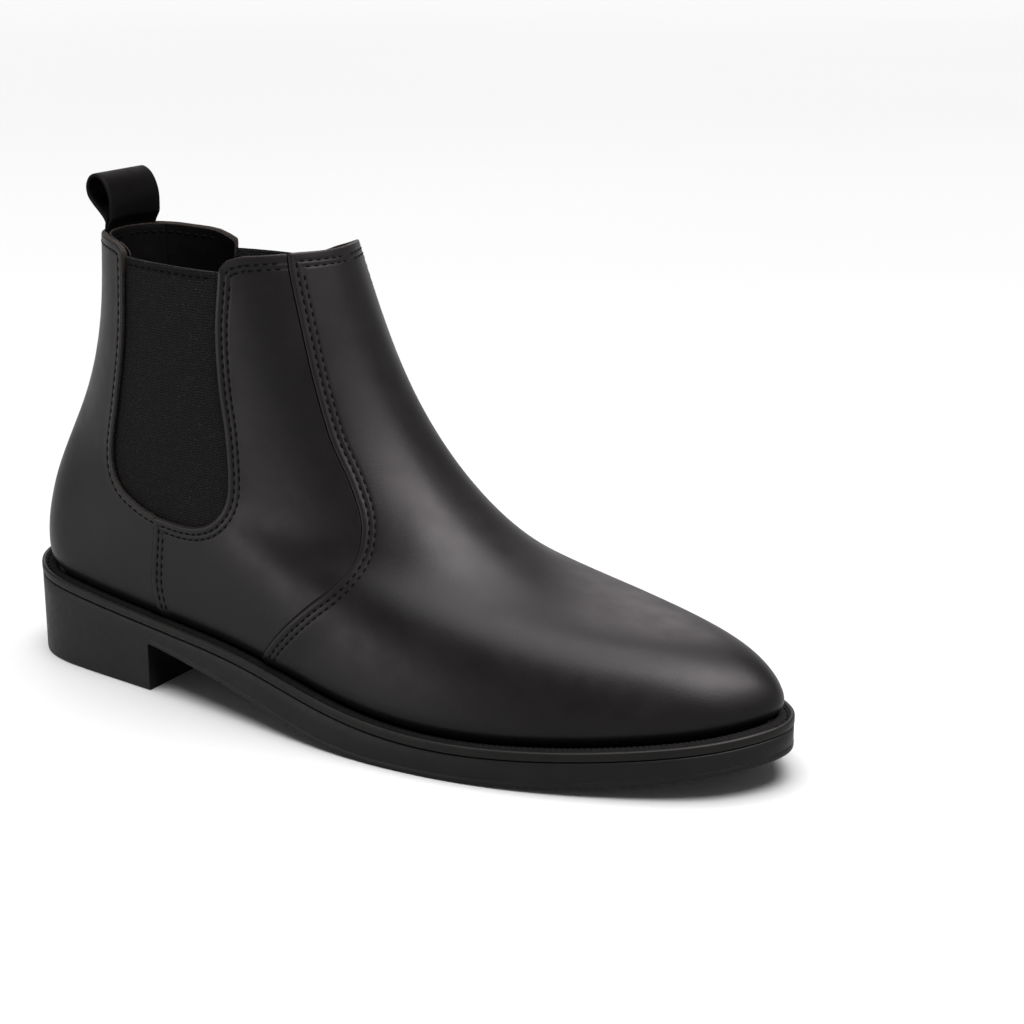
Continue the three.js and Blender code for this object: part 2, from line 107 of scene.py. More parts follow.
# Pattern lines in the side view, as (x, z).
# Those that differ from side to side are kept by side: -1 lateral, 1 medial.
COLLAR = {
    -1: [
        (-114, 161.3), (-104, 160.9), (-98, 160.4), (-93, 159.7), (-90.5, 158.6), (-88.8, 157.2),
        (-88.2, 156.3), (-46, 154.4), (-45.2, 156.4), (-43.2, 158.5), (-38, 160.1), (-30, 160.7),
        (-22, 161.4), (-10, 161.6),
    ],
    1: [
        (-114, 161.3), (-108, 160.8), (-103, 160.2), (-97.7, 159.3), (-92.2, 158.6), (-88.5, 157.8),
        (-85, 156.2), (-82.5, 154.6), (-80.6, 151.6), (-50, 151.5), (-46, 152.4), (-40, 154.6),
        (-34, 156.8), (-28, 158.6), (-22, 160.6), (-17, 161.6), (-10, 161.6),
    ],
}
GORE_BACK_EDGE = {
    -1: [(-88, 170), (-89.5, 140), (-91.5, 122), (-95.5, 104), (-100.5, 84), (-97, 73.5)],
    1: [(-80.5, 170), (-83.5, 140), (-88, 122), (-94, 104), (-100, 84), (-97, 73.5)],
}
GORE_BOTTOM = [(-87, 68), (-76, 65.3), (-65, 64.5), (-56, 65.4)]
GORE_FRONT_EDGE = [
    (-48.5, 68.8), (-43.5, 75.5), (-42.4, 85), (-43.5, 100), (-46, 116), (-47.3, 135),
    (-46.5, 152), (-46.3, 170),
]
GORE_TOP = {-1: [(-90, 156.2), (-46, 154.2)], 1: [(-84, 151.4), (-46, 151.3)]}
GORE_REAR_CORNER = (-100, 81)
GORE_FRONT_CORNER = (-50, 67.8)
VAMP_SEAM = [
    (-26, 175), (-24.5, 160), (-20, 143), (-13, 120), (-5.6, 101), (2.5, 87), (8, 76),
    (9.5, 67), (8, 60), (4, 54.5), (-4, 47.5), (-14, 38), (-21, 30), (-28, 20), (-34, 5),
]
SIDE_SEAM = [(-77, 64.9), (-78.5, 50), (-79, 40), (-77, 31), (-72, 15), (-70, 0)]
VAMP_LINING_SEAM = [(-30, 175), (-22, 140), (-8, 100), (-4, 70), (-12, 40), (-22, 0)]
HEEL_GRIP_X = -107
SEAM_JOIN_Z = 73
REAR_JOIN_Z = 82

# Leather, as thicknesses and as depths below the outer face.
LEATHER = 1.3
EDGE_RADIUS = 0.5
ELASTIC_DEPTH = 1.45
ELASTIC = 0.9
LINING_DEPTH = 2.7
LINING = 0.7
STITCH_ROWS = (2.1, 4.1)
COLLAR_ROWS = (2.5, 4.4)
BACK_ROWS = (2.4,)
HEM_ROW = 2.2
STITCH_SINK = 0.17
STITCH_GROOVE = 0.4

# Stitches.
STITCH_PITCH = 3.1
STITCH_LENGTH = 2.2
THREAD = 0.6

# Pull tab: strap profile in the side view, width, thickness and the fold of its tails.
TAB_WIDTH = 27
TAB_STRAP = 1.4
TAB_TAIL_Z = 145
TAB_LOOP = [
    (-106.6, 162.9), (-107.9, 164), (-109.2, 166), (-111.4, 168.3), (-113.8, 170.6),
    (-116, 173.4), (-116.6, 177), (-115.2, 180.2), (-112.2, 181.6), (-109, 180.3),
    (-106.6, 177.2), (-105.1, 172.8), (-104.9, 168.2), (-105.3, 164), (-106.6, 162.9),
]

SOCK_INSET = 10
SOCK_HEIGHT = (9.3, 10.3)

# ---------- curves ----------


def spline(points):
    """Natural cubic spline through rows of (x, y, ...), as a function of x."""
    table = np.asarray(points, float)
    xs, ys = table[:, 0], table[:, 1:]
    count = len(xs)
    gap = np.diff(xs)
    system = np.eye(count)
    bend = np.zeros_like(ys)
    for i in range(1, count - 1):
        system[i, i - 1 : i + 2] = gap[i - 1], 2 * (gap[i - 1] + gap[i]), gap[i]
        bend[i] = 6 * ((ys[i + 1] - ys[i]) / gap[i] - (ys[i] - ys[i - 1]) / gap[i - 1])
    second = np.linalg.solve(system, bend)

    def at(x):
        x = np.asarray(x, float)
        i = np.clip(np.searchsorted(xs, x) - 1, 0, count - 2)
        h = gap[i][..., None]
        a = (xs[i + 1] - x)[..., None]
        b = (x - xs[i])[..., None]
        y = (second[i] * a**3 + second[i + 1] * b**3) / (6 * h)
        y += (ys[i] / h - second[i] * h / 6) * a + (ys[i + 1] / h - second[i + 1] * h / 6) * b
        return y[..., 0] if ys.shape[1] == 1 else y

    return at


def closed_curve(points, count):
    """Smooth closed curve through the points, as `count` points."""
    overlap = 3
    ring = np.array(points[-overlap:] + points + points[: overlap + 1], float)
    steps = np.sqrt(np.hypot(*np.diff(ring, axis=0).T))
    knots = np.concatenate([[0], np.cumsum(steps)])
    at = spline(np.column_stack([knots, ring]))
    start, end = knots[overlap], knots[overlap + len(points)]
    return at(start + (end - start) * np.arange(count) / count)


def pattern_curve(points, count=400):
    """Catmull-Rom curve through pattern points, as the CAD draws it."""
    p = np.array(points, float)
    last = len(p) - 1
    at = np.linspace(0, last, count + 1)
    i = np.minimum(at.astype(int), last)
    w = (at - i)[:, None]
    before, here = p[np.maximum(i - 1, 0)], p[i]
    after, beyond = p[np.minimum(i + 1, last)], p[np.minimum(i + 2, last)]
    v0, v1 = (after - before) / 2, (beyond - here) / 2
    cubic = 2 * here - 2 * after + v0 + v1
    square = 3 * after - 3 * here - 2 * v0 - v1
    return cubic * w**3 + square * w**2 + v0 * w + here


def arc(points):
    """Distance along a polyline at each of its points."""
    return np.concatenate([[0], np.cumsum(np.linalg.norm(np.diff(points, axis=0), axis=1))])


def unit(vectors):
    return vectors / np.linalg.norm(vectors, axis=-1)[..., None]


def at_distances(line, along, at):
    """The rows of a line at these distances along it."""
    return np.column_stack([np.interp(at, along, column) for column in line.T])


def inset_curve(curve, distance):
    """A closed anticlockwise plan curve moved inwards."""
    along = unit(np.roll(curve, -1, 0) - np.roll(curve, 1, 0))
    distance = np.broadcast_to(distance, len(curve))
    return curve + np.column_stack([-along[:, 1], along[:, 0]]) * distance[:, None]


def smooth(x):
    """Eases from 0 to 1."""
    x = np.clip(x, 0, 1)
    return x * x * (3 - 2 * x)


def plan_outline(count):
    """The sole outline at even steps, starting at the heel tip."""
    dense = closed_curve([HEEL_TIP, *LATERAL_EDGE, TOE_TIP, *MEDIAL_EDGE], 4000)
    ring = np.vstack([dense, dense[:1]])
    along = arc(ring)
    return at_distances(ring, along, np.linspace(0, along[-1], count, endpoint=False))


welt_top = spline(WELT_TOP)
tread_line = spline(TREAD)


def seat(x):
    return welt_top(x) - SEAT_DROP


def collar_z(x, side):
    """Height of the finished top edge; side can be any number with the side's sign."""
    heights = [np.interp(x, *np.array(COLLAR[key], float).T) for key in (-1, 1)]
    return np.where(np.asarray(side) < 0, *heights)


# ---------- the boot surface ----------


def feather_half(half, side):
    """Shares of the length and of the half width against the share of the arc length."""
    share = arc(half) / arc(half)[-1]
    length = (half[:, 0] - half[0, 0]) / (half[-1, 0] - half[0, 0])
    width = side * (half[:, 1] - half[0, 1] - (half[-1, 1] - half[0, 1]) * length)
    return share, length, width / width.max()


def feather_tables():
    dense = closed_curve([HEEL_TIP, *LATERAL_EDGE, TOE_TIP, *MEDIAL_EDGE], 1500)
    ring = inset_curve(dense, WELT_WIDTH)
    ring = np.roll(ring, -np.argmin(ring[:, 0]), 0)
    toe = np.argmax(ring[:, 0])
    medial = np.vstack([ring[toe:], ring[:1]])[::-1]
    return feather_half(ring[: toe + 1], -1), feather_half(medial, 1)


def section_rows():
    rows = [
        (v, fx, seat(fx) + fz, bx, seat(bx) + bz, *rest)
        for v, fx, fz, bx, bz, *rest in MARGIN_SECTIONS
    ]
    return spline(rows + UPPER_SECTIONS)


LATERAL_HALF, MEDIAL_HALF = feather_tables()
section_at = section_rows()


def surface(s, v):
    """Points of the outer face. s: 0 heel, 0..1 lateral side, 1 toe, 1..2 medial side."""
    s, v = np.broadcast_arrays(np.asarray(s, float), np.asarray(v, float))
    s = np.mod(s, 2)
    lateral = s <= 1
    t = np.where(lateral, s, 2 - s)
    front_x, front_z, back_x, back_z, out, inn, oval, follow, lean = np.moveaxis(section_at(v), -1, 0)
    length = np.where(lateral, np.interp(t, *LATERAL_HALF[:2]), np.interp(t, *MEDIAL_HALF[:2]))
    width = np.where(
        lateral,
        np.interp(t, LATERAL_HALF[0], LATERAL_HALF[2]),
        np.interp(t, MEDIAL_HALF[0], MEDIAL_HALF[2]),
    )
    cosine = np.cos(np.pi * t)
    oval_length = (1 - np.sign(cosine) * np.abs(cosine) ** OVAL_EXPONENT) / 2
    oval_width = np.maximum(np.sin(np.pi * t), 0) ** OVAL_EXPONENT
    along = length + (oval_length - length) * oval
    across = width + (oval_width - width) * oval
    x = back_x + (front_x - back_x) * along
    y = lean * along + np.where(lateral, -out, inn) * across
    heel_end, toe_end = welt_top(back_x), welt_top(front_x)
    spring = welt_top(x) - (heel_end + (toe_end - heel_end) * along)
    z = back_z + (front_z - back_z) * along + follow * spring
    return np.stack([x, y, z], -1)


STEP = 2e-3
NEWTON_STEPS = 14
LONGEST_JUMP = 0.05
HIGHEST_V = 1.06


def slopes(s, v):
    around = (surface(s + STEP, v) - surface(s - STEP, v)) / (2 * STEP)
    upwards = (surface(s, v + STEP) - surface(s, v - STEP)) / (2 * STEP)
    return around, upwards


def normals(s, v):
    return unit(np.cross(*slopes(s, v)))


def layer(sv, depth):
    """Points at a depth below the outer face."""
    s, v = sv[..., 0], sv[..., 1]
    return surface(s, v) - normals(s, v) * np.asarray(depth)[..., None]


# A side is a sign: -1 lateral, +1 medial. (t, v) becomes (s, v) with s = t or 2 - t.


def to_sv(tv, side):
    return tv if side < 0 else np.column_stack([2 - tv[:, 0], tv[:, 1]])


def on_side(xz, side, axes=(0, 2), farthest=0.99):
    """The (t, v) whose point has these coordinates, found by Newton steps."""
    target = np.asarray(xz, float)
    ts, vs = np.meshgrid(np.linspace(0.001, farthest, 60), np.linspace(-0.02, HIGHEST_V, 50))
    guess = np.column_stack([ts.ravel(), vs.ravel()])
    known = surface(*to_sv(guess, side).T)[:, axes]
    nearest = ((target[:, None] - known[None]) ** 2).sum(-1).argmin(1)
    tv = guess[nearest]
    for _ in range(NEWTON_STEPS):
        sv = to_sv(tv, side)
        error = surface(*sv.T)[:, axes] - target
        around, upwards = slopes(*sv.T)
        if side > 0:
            around = -around
        a, b = around[:, axes], upwards[:, axes]
        cross = a[:, 0] * b[:, 1] - a[:, 1] * b[:, 0]
        dt = (error[:, 0] * b[:, 1] - error[:, 1] * b[:, 0]) / cross
        dv = (a[:, 0] * error[:, 1] - a[:, 1] * error[:, 0]) / cross
        tv = tv - np.clip(np.column_stack([dt, dv]), -LONGEST_JUMP, LONGEST_JUMP)
    return tv


def collar_v(t, side):
    """v of the finished top edge at each t."""
    t = np.asarray(t, float)
    low, high = np.full(len(t), 0.8), np.full(len(t), HIGHEST_V)
    for _ in range(30):
        middle = (low + high) / 2
        p = surface(*to_sv(np.column_stack([t, middle]), side).T)
        above = p[:, 2] > collar_z(p[:, 0], side)
        high = np.where(above, middle, high)
        low = np.where(above, low, middle)
    return middle


def resample(tv, side, at):
    """The curve's points at these shares of its length on the surface."""
    along = arc(surface(*to_sv(tv, side).T))
    return at_distances(tv, along / along[-1], at)


def length_of(tv, side):
    return arc(surface(*to_sv(tv, side).T))[-1]


def moved(tv, side, distance):
    """A curve moved along the surface, to the heel side of a curve that runs upwards."""
    parts = max(1, int(np.ceil(abs(distance))))
    for _ in range(parts):
        sv = to_sv(tv, side)
        around, upwards = slopes(*sv.T)
        if side > 0:
            around = -around
        n = np.cross(around, upwards)
        tangent = np.gradient(surface(*sv.T), axis=0)
        left = np.cross(n, tangent)
        left *= (distance / parts) / np.linalg.norm(left, axis=1)[:, None]
        aa, ab, bb = (around**2).sum(1), (around * upwards).sum(1), (upwards**2).sum(1)
        ra, rb = (left * around).sum(1), (left * upwards).sum(1)
        det = aa * bb - ab * ab
        tv = tv + np.column_stack([(ra * bb - rb * ab) / det, (rb * aa - ra * ab) / det])
    return tv


def traced(line, side):
    """A pattern line on one side of the boot, from its lowest point up, between sole and collar."""
    xz = pattern_curve(line)
    xz = xz[(xz[:, 1] > welt_top(xz[:, 0]) + 3) & (xz[:, 1] < collar_z(xz[:, 0], side) + 4)]
    tv = on_side(xz, side)
    return tv if tv[0, 1] < tv[-1, 1] else tv[::-1]


def to_sole(tv):
    """Carries a curve that runs upwards down under the edge of the welt."""
    slope = (tv[0, 0] - tv[12, 0]) / (tv[0, 1] - tv[12, 1])
    foot_t = tv[0, 0] - slope * tv[0, 1]
    return np.vstack([[(foot_t, LOWEST_V)], [(foot_t, 0.0)], tv])


def to_collar(tv, side):
    """Cuts a curve that runs upwards at the collar."""
    top = collar_v(tv[:, 0], side)
    over = np.argmax(tv[:, 1] > top)
    a, b = tv[over - 1], tv[over]
    gap_a, gap_b = top[over - 1] - a[1], top[over] - b[1]
    return np.vstack([tv[:over], a + (b - a) * gap_a / (gap_a - gap_b)])


def collar_between(start, end, side, count=160):
    t = np.linspace(start, end, count)
    return np.column_stack([t, collar_v(t, side)])


def sole_between(start, end, count=60):
    return np.column_stack([np.linspace(start, end, count), np.full(count, LOWEST_V)])


def straight(a, b, count=40):
    return a + (b - a) * np.linspace(0, 1, count)[:, None]


# ---------- grids and meshes ----------

FINE = 0.42
COARSE = 1.9
FINE_BAND = 6.0
COARSENING = 14
UNSTITCHED = 9.0


def graded(length, start=True, end=True):
    """Shares from 0 to 1, close together near the stitched ends of a span."""
    x = np.linspace(0, length, 600)
    far = np.full_like(x, length)
    if start:
        far = np.minimum(far, x)
    if end:
        far = np.minimum(far, length - x)
    step = FINE + (COARSE - FINE) * smooth((far - FINE_BAND) / COARSENING)
    count = arc(np.column_stack([np.cumsum(1 / step) * (x[1] - x[0]), x * 0]))
    steps = max(int(np.ceil(count[-1])), 4)
    return np.interp(np.linspace(0, count[-1], steps + 1), count, x) / length


def coons(bottom, top, left, right, us, ws):
    u, w = us[:, None, None], ws[None, :, None]
    ruled = (1 - w) * bottom[:, None] + w * top[:, None] + (1 - u) * left[None] + u * right[None]
    corners = (1 - u) * (1 - w) * bottom[0] + u * (1 - w) * bottom[-1]
    corners = corners + (1 - u) * w * top[0] + u * w * top[-1]
    return ruled - corners


def grid_quads(rows, columns, flip=False):
    index = np.arange(rows * columns).reshape(rows, columns)
    a, b = index[:-1, :-1].ravel(), index[1:, :-1].ravel()
    c, d = index[1:, 1:].ravel(), index[:-1, 1:].ravel()
    return np.column_stack([a, d, c, b] if flip else [a, b, c, d])


def welded(patches):
    """Joins (s, v) grids, each with its flip, into one list of points and quads."""
    points, quads, start = [], [], 0
    for grid, flip in patches:
        points.append(grid.reshape(-1, 2))
        quads.append(grid_quads(*grid.shape[:2], flip) + start)
        start += grid.shape[0] * grid.shape[1]
    points, quads = np.vstack(points), np.vstack(quads)
    _, first, inverse = np.unique(np.round(points, 6), axis=0, return_index=True, return_inverse=True)
    return points[first], inverse.ravel()[quads]


def boundary_loop(quads):
    """The one open edge of a quad mesh, in order, with the mesh on its left."""
    edges = {}
    for quad in quads.tolist():
        for a, b in zip(quad, quad[1:] + quad[:1]):
            if a != b:
                edges[(a, b)] = True
    following = {a: b for a, b in edges if (b, a) not in edges}
    first = next(iter(following))
    loop = [first]
    while following[loop[-1]] != first:
        loop.append(following[loop[-1]])
    return np.array(loop)


def add_object(name, points, faces, materials, body, face_materials=None, attributes=None):
    """A smooth-shaded mesh object from millimetre points. It rides on a CAD body."""
    mesh = bpy.data.meshes.new(name)
    mesh.from_pydata((np.asarray(points) * MM).tolist(), [], [[int(i) for i in f] for f in faces])
    mesh.validate()
    for material in materials:
        mesh.materials.append(material)
    mesh.polygons.foreach_set("use_smooth", [True] * len(mesh.polygons))
    if face_materials is not None:
        mesh.polygons.foreach_set("material_index", np.asarray(face_materials, int).tolist())
    for key, values in (attributes or {}).items():
        layer_ = mesh.attributes.new(key, "FLOAT", "POINT")
        layer_.data.foreach_set("value", np.asarray(values, np.float32))
    mesh.update()
    obj = bpy.data.objects.new(name, mesh)
    bpy.context.scene.collection.objects.link(obj)
    if body:
        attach(obj, body)
    return obj


def distance_to(points, line):
    """Distance in mm from each point to a polyline."""
    best = np.full(len(points), 1e9)
    a, b = line[:-1], line[1:]
    along = b - a
    size = np.maximum((along * along).sum(1), 1e-12)
    for start in range(0, len(points), 3000):
        p = points[start : start + 3000, None]
        share = np.clip(((p - a) * along).sum(-1) / size, 0, 1)
        gap = np.linalg.norm(p - (a + along * share[..., None]), axis=-1)
        best[start : start + 3000] = gap.min(1)
    return best


class Edge:
    """A finished edge of a leather panel: how it stands up, and its stitch rows."""

    def __init__(self, tv, side, raised=0.0, fade=8.0, rolled=0.0, rows=()):
        self.tv, self.side, self.rows = tv, side, rows
        self.raised, self.fade, self.rolled = raised, fade, rolled
        coarse = resample(tv, side, np.linspace(0, 1, 300))
        self.line = surface(*to_sv(coarse, side).T)

    def height(self, points):
        """How far the points are from the edge, and how much it lifts them."""
        d = distance_to(points, self.line)
        lift = self.raised * (1 - smooth(d / self.fade))
        lift += self.rolled * np.exp(-(((d - 0.7) / 0.8) ** 2))
        return d, lift


def relief(points, edges):
    """Height of a face above the boot surface, and how far its edges and stitch rows are."""
    total = np.zeros(len(points))
    nearest = np.full(len(points), 99.0)
    stitched = np.full(len(points), 99.0)
    row_gap = np.full(len(points), UNSTITCHED)
    for edge in edges:
        d, lift = edge.height(points)
        total += lift
        nearest = np.minimum(nearest, d)
        if edge.rows:
            off_row = np.abs(d[:, None] - np.array(edge.rows)).min(1)
            row_gap = np.where(d < stitched, off_row, row_gap)
            stitched = np.minimum(stitched, d)
    return total - STITCH_SINK * np.exp(-((row_gap / STITCH_GROOVE) ** 2)), nearest, row_gap


def rim_frame(face, out, loop):
    """Directions that point away from the piece along its boundary."""
    tangent = unit(np.roll(face[loop], -1, 0) - np.roll(face[loop], 1, 0))
    return unit(np.cross(tangent, out[loop]))


def panel(name, patches, edges, materials, node, fold=None, depth=0.0, thickness=LEATHER,
          fray=0.0):
    """A closed piece of leather: a face with relief, rounded edges and a flesh side."""
    sv, quads = welded(patches)
    base, out = surface(*sv.T), normals(*sv.T)
    lift, nearest, row_gap = relief(base, edges)
    loop = boundary_loop(quads)
    face = base + out * (lift - depth)[:, None]
    thick = thickness + (fold(base) if fold else np.zeros(len(base)))
    aside = rim_frame(face, out, loop)
    at = arc(face[loop])
    ragged = fray * (np.sin(at * 1.9) + np.sin(at * 3.7 + 1) + np.sin(at * 6.1 + 2))
    radius = min(EDGE_RADIUS, thickness / 2.2) + ragged
    rims = [(radius * math.sin(a), radius * (1 - math.cos(a))) for a in np.radians((30, 60, 90))]
    rims.append((radius, thick[loop] - radius * 0.5))
    points = [face, face - out * thick[:, None]]
    rings = [loop]
    for outwards, down in rims:
        rings.append(sum(map(len, points)) + np.arange(len(loop)))
        points.append(face[loop] + aside * outwards[:, None] - out[loop] * down[:, None])
    rings.append(loop + len(face))
    faces = [quads, quads[:, ::-1] + len(face)]
    kinds = [np.zeros(len(quads), int), np.full(len(quads), 2)]
    for i, (a, b) in enumerate(zip(rings[:-1], rings[1:])):
        faces.append(np.column_stack([a, b, np.roll(b, -1), np.roll(a, -1)]))
        kinds.append(np.full(len(loop), 1 if i >= 2 else 0))
    rim = np.zeros(len(rims) * len(loop))
    attributes = {
        "edge_mm": np.concatenate([nearest, nearest, rim]),
        "row_mm": np.concatenate([row_gap, row_gap, rim + UNSTITCHED]),
    }
    obj = add_object(
        name, np.vstack(points), np.vstack(faces), materials, "boot", np.concatenate(kinds), attributes
    )
    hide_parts(node)


# ---------- materials ----------


class Nodes:
    """A material's node tree with short helpers."""

    def __init__(self, name):
        self.material = bpy.data.materials.new(name)
        self.material.use_nodes = True
        self.tree = self.material.node_tree
        self.shader = self.tree.nodes["Principled BSDF"]
        self.place = self.add("ShaderNodeTexCoord").outputs["Object"]

    def add(self, kind, **settings):
        node = self.tree.nodes.new(kind)
        for key, value in settings.items():
            setattr(node, key, value)
        return node

    def link(self, output, socket):
        self.tree.links.new(output, socket)

    def noise(self, size_mm, detail=3.0, roughness=0.55):
        node = self.add("ShaderNodeTexNoise")
        node.inputs["Scale"].default_value = 1 / (size_mm * MM)
        node.inputs["Detail"].default_value = detail
        node.inputs["Roughness"].default_value = roughness
        self.link(self.place, node.inputs["Vector"])
        return node.outputs["Fac"]

    def cells(self, size_mm):
        node = self.add("ShaderNodeTexVoronoi")
        node.inputs["Scale"].default_value = 1 / (size_mm * MM)
        self.link(self.place, node.inputs["Vector"])
        return node.outputs["Distance"]

    def ramp(self, value, *stops):
        node = self.add("ShaderNodeValToRGB")
        elements = node.color_ramp.elements
        while len(elements) < len(stops):
            elements.new(0.5)
        for element, (position, colour) in zip(elements, stops):
            element.position = position
            element.color = (*colour, 1)
        self.link(value, node.inputs["Fac"])
        return node.outputs["Color"]

    def mottled(self, size_mm, dark, pale, detail=3.0):
        """A colour that drifts between two shades."""
        return self.ramp(self.noise(size_mm, detail), (0.3, dark), (0.7, pale))

    def drift(self, size_mm, low, high, detail=3.0):
        """A value that drifts between two values."""
        return self.span(self.noise(size_mm, detail), 0.3, 0.7, low, high)

    def span(self, value, low, high, to_low, to_high):
        """The value with low..high carried to to_low..to_high."""
        node = self.add("ShaderNodeMapRange")
        ends = {"From Min": low, "From Max": high, "To Min": to_low, "To Max": to_high}
        for socket, number in ends.items():
            node.inputs[socket].default_value = number
        self.link(value, node.inputs["Value"])
        return node.outputs["Result"]

    def math(self, operation, a, b):
        node = self.add("ShaderNodeMath", operation=operation)
        for socket, value in zip(node.inputs, (a, b)):
            if isinstance(value, (int, float)):
                socket.default_value = value
            else:
                self.link(value, socket)
        return node.outputs["Value"]

    def mix(self, share, a, b):
        node = self.add("ShaderNodeMix", data_type="RGBA")
        self.link(share, node.inputs["Factor"])
        for socket, value in ((node.inputs[6], a), (node.inputs[7], b)):
            if isinstance(value, tuple):
                socket.default_value = (*value, 1)
            else:
                self.link(value, socket)
        return node.outputs[2]

    def attribute(self, name):
        return self.add("ShaderNodeAttribute", attribute_name=name).outputs["Fac"]

    def bump(self, height, depth_mm, strength=1.0, below=None):
        node = self.add("ShaderNodeBump")
        node.inputs["Strength"].default_value = strength
        node.inputs["Distance"].default_value = depth_mm * MM
        self.link(height, node.inputs["Height"])
        if below is not None:
            self.link(below, node.inputs["Normal"])
        return node.outputs["Normal"]

    def finish(self, colour=None, roughness=None, normal=None, **sockets):
        for value, key in ((colour, "Base Color"), (roughness, "Roughness"), (normal, "Normal")):
            if value is None:
                continue
            if isinstance(value, tuple):
                self.shader.inputs[key].default_value = (*value, 1)
            elif isinstance(value, (int, float)):
                self.shader.inputs[key].default_value = value
            else:
                self.link(value, self.shader.inputs[key])
        for key, value in sockets.items():
            self.shader.inputs[key.replace("_", " ")].default_value = value
        return self.material


def upper_leather():
    """Smooth black calf with a fine pore grain, paler where an edge is rubbed; the colour is darkened along
    the stitch rows as painted shade.
    """
    n = Nodes("upper_leather")
    hide = n.mottled(26, (0.0024, 0.0022, 0.0023), (0.0038, 0.0034, 0.0036))
    edge = n.math("ADD", n.attribute("edge_mm"), n.span(n.noise(1.4), 0, 1, -0.35, 0.35))
    rubbed = n.span(edge, 0.0, 0.55, 0.4, 0)
    # Painted shade: the colour goes near black along each stitch row, standing in for the shade in its
    # groove; the same mask also raises the roughness.
    groove = n.span(n.attribute("row_mm"), 0.1, 0.5, 0.45, 0)
    colour = n.mix(groove, n.mix(rubbed, hide, (0.0085, 0.0074, 0.0062)), (0.0007, 0.0007, 0.0007))
    roughness = n.math("ADD", n.drift(9, 0.38, 0.46, 4), n.math("MULTIPLY", groove, 0.45))
    grain = n.bump(n.cells(0.75), 0.05, 0.3)
    pores = n.bump(n.noise(0.35, detail=2), 0.03, 0.25, grain)
    creases = n.bump(n.noise(6, detail=5, roughness=0.6), 0.12, 0.25, pores)
    return n.finish(colour, roughness, creases, Specular_IOR_Level=0.13)


def raw_edge():
    """Cut edge of the leather: brown-black fibres."""
    n = Nodes("raw_edge")
    fibres = n.noise(0.9, detail=5)
    colour = n.ramp(fibres, (0.35, (0.0022, 0.0019, 0.0015)), (0.75, (0.0125, 0.0095, 0.0062)))
    rough = n.bump(n.noise(0.3, detail=4), 0.15, 0.8)
    return n.finish(colour, 0.85, rough, Specular_IOR_Level=0.15)


def flesh_side():
    """Back of the leather, with a short nap."""
    n = Nodes("flesh_side")
    colour = n.mottled(2, (0.006, 0.0055, 0.005), (0.016, 0.015, 0.013), 6)
    nap = n.bump(n.noise(0.4, detail=5), 0.12, 0.7)
    return n.finish(colour, 0.95, nap, Specular_IOR_Level=0.12)


def lining_leather():
    """Soft black lining leather with a dry surface."""
    n = Nodes("lining_leather")
    colour = n.mottled(12, (0.0006, 0.0006, 0.0006), (0.0014, 0.0013, 0.0012), 5)
    wrinkles = n.bump(n.noise(7, detail=4), 0.35, 0.5)
    normal = n.bump(n.cells(0.6), 0.04, 0.4, wrinkles)
    return n.finish(colour, n.drift(5, 0.5, 0.62), normal, Specular_IOR_Level=0.06)


def elastic_gore():
    """Elastic webbing: short horizontal picks in offset columns, with tiny coloured specks, and painted
    shade in the hollows of the weave.
    """
    n = Nodes("elastic_gore")
    split = n.add("ShaderNodeSeparateXYZ")
    n.link(n.place, split.inputs["Vector"])
    turn = 2 * math.pi / MM
    sway = n.math("MULTIPLY", n.noise(5, detail=3), 5.0)
    waves = []
    for axis, pitch_mm in (("Z", 0.95), ("X", 1.5)):
        phase = n.math("MULTIPLY", split.outputs[axis], turn / pitch_mm)
        waves.append(n.math("SINE", n.math("ADD", phase, sway), 0))
    picks, columns = waves
    crossed = n.math("MULTIPLY", columns, picks)
    weave = n.math("ADD", n.math("MULTIPLY", picks, 0.4), n.math("MULTIPLY", crossed, 0.6))
    # Painted shade and light: the colour follows the weave's height, near black in its hollows and lighter
    # on the raised picks.
    ridge = n.span(weave, -0.6, 0.8, 0, 1)
    weave_painted_shade = n.mix(ridge, (0.0003, 0.0003, 0.0003), (0.0068, 0.0064, 0.0065))
    specks = n.span(n.noise(0.55, detail=2), 0.62, 0.7, 0, 1)
    tint = n.ramp(n.noise(1.4), (0.42, (0.024, 0.014, 0.014)), (0.58, (0.012, 0.018, 0.014)))
    colour = n.mix(specks, weave_painted_shade, tint)
    normal = n.bump(n.noise(0.6), 0.12, 0.6, n.bump(weave, 0.25, 1.0))
    return n.finish(colour, 0.85, normal, Specular_IOR_Level=0.1)


def thread():
    """Waxed black thread with its twist."""
    n = Nodes("thread")
    colour = n.mottled(0.5, (0.0004, 0.0004, 0.0004), (0.0012, 0.0011, 0.0011))
    twist = n.bump(n.noise(0.16, detail=2), 0.06, 0.8)
    return n.finish(colour, 0.7, twist, Specular_IOR_Level=0.04)


def strap_leather():
    """Matte black leather strap of the pull tab, smooth on both faces."""
    n = Nodes("strap_leather")
    hide = n.mottled(7, (0.0009, 0.0008, 0.0009), (0.0018, 0.0016, 0.0017), 4)
    rubbed = n.span(n.attribute("edge_mm"), 0.0, 0.9, 0.5, 0)
    colour = n.mix(rubbed, hide, (0.0065, 0.0058, 0.0055))
    normal = n.bump(n.cells(0.5), 0.03, 0.4, n.bump(n.noise(4, detail=4), 0.1, 0.25))
    return n.finish(colour, n.drift(5, 0.55, 0.65), normal, Specular_IOR_Level=0.03)


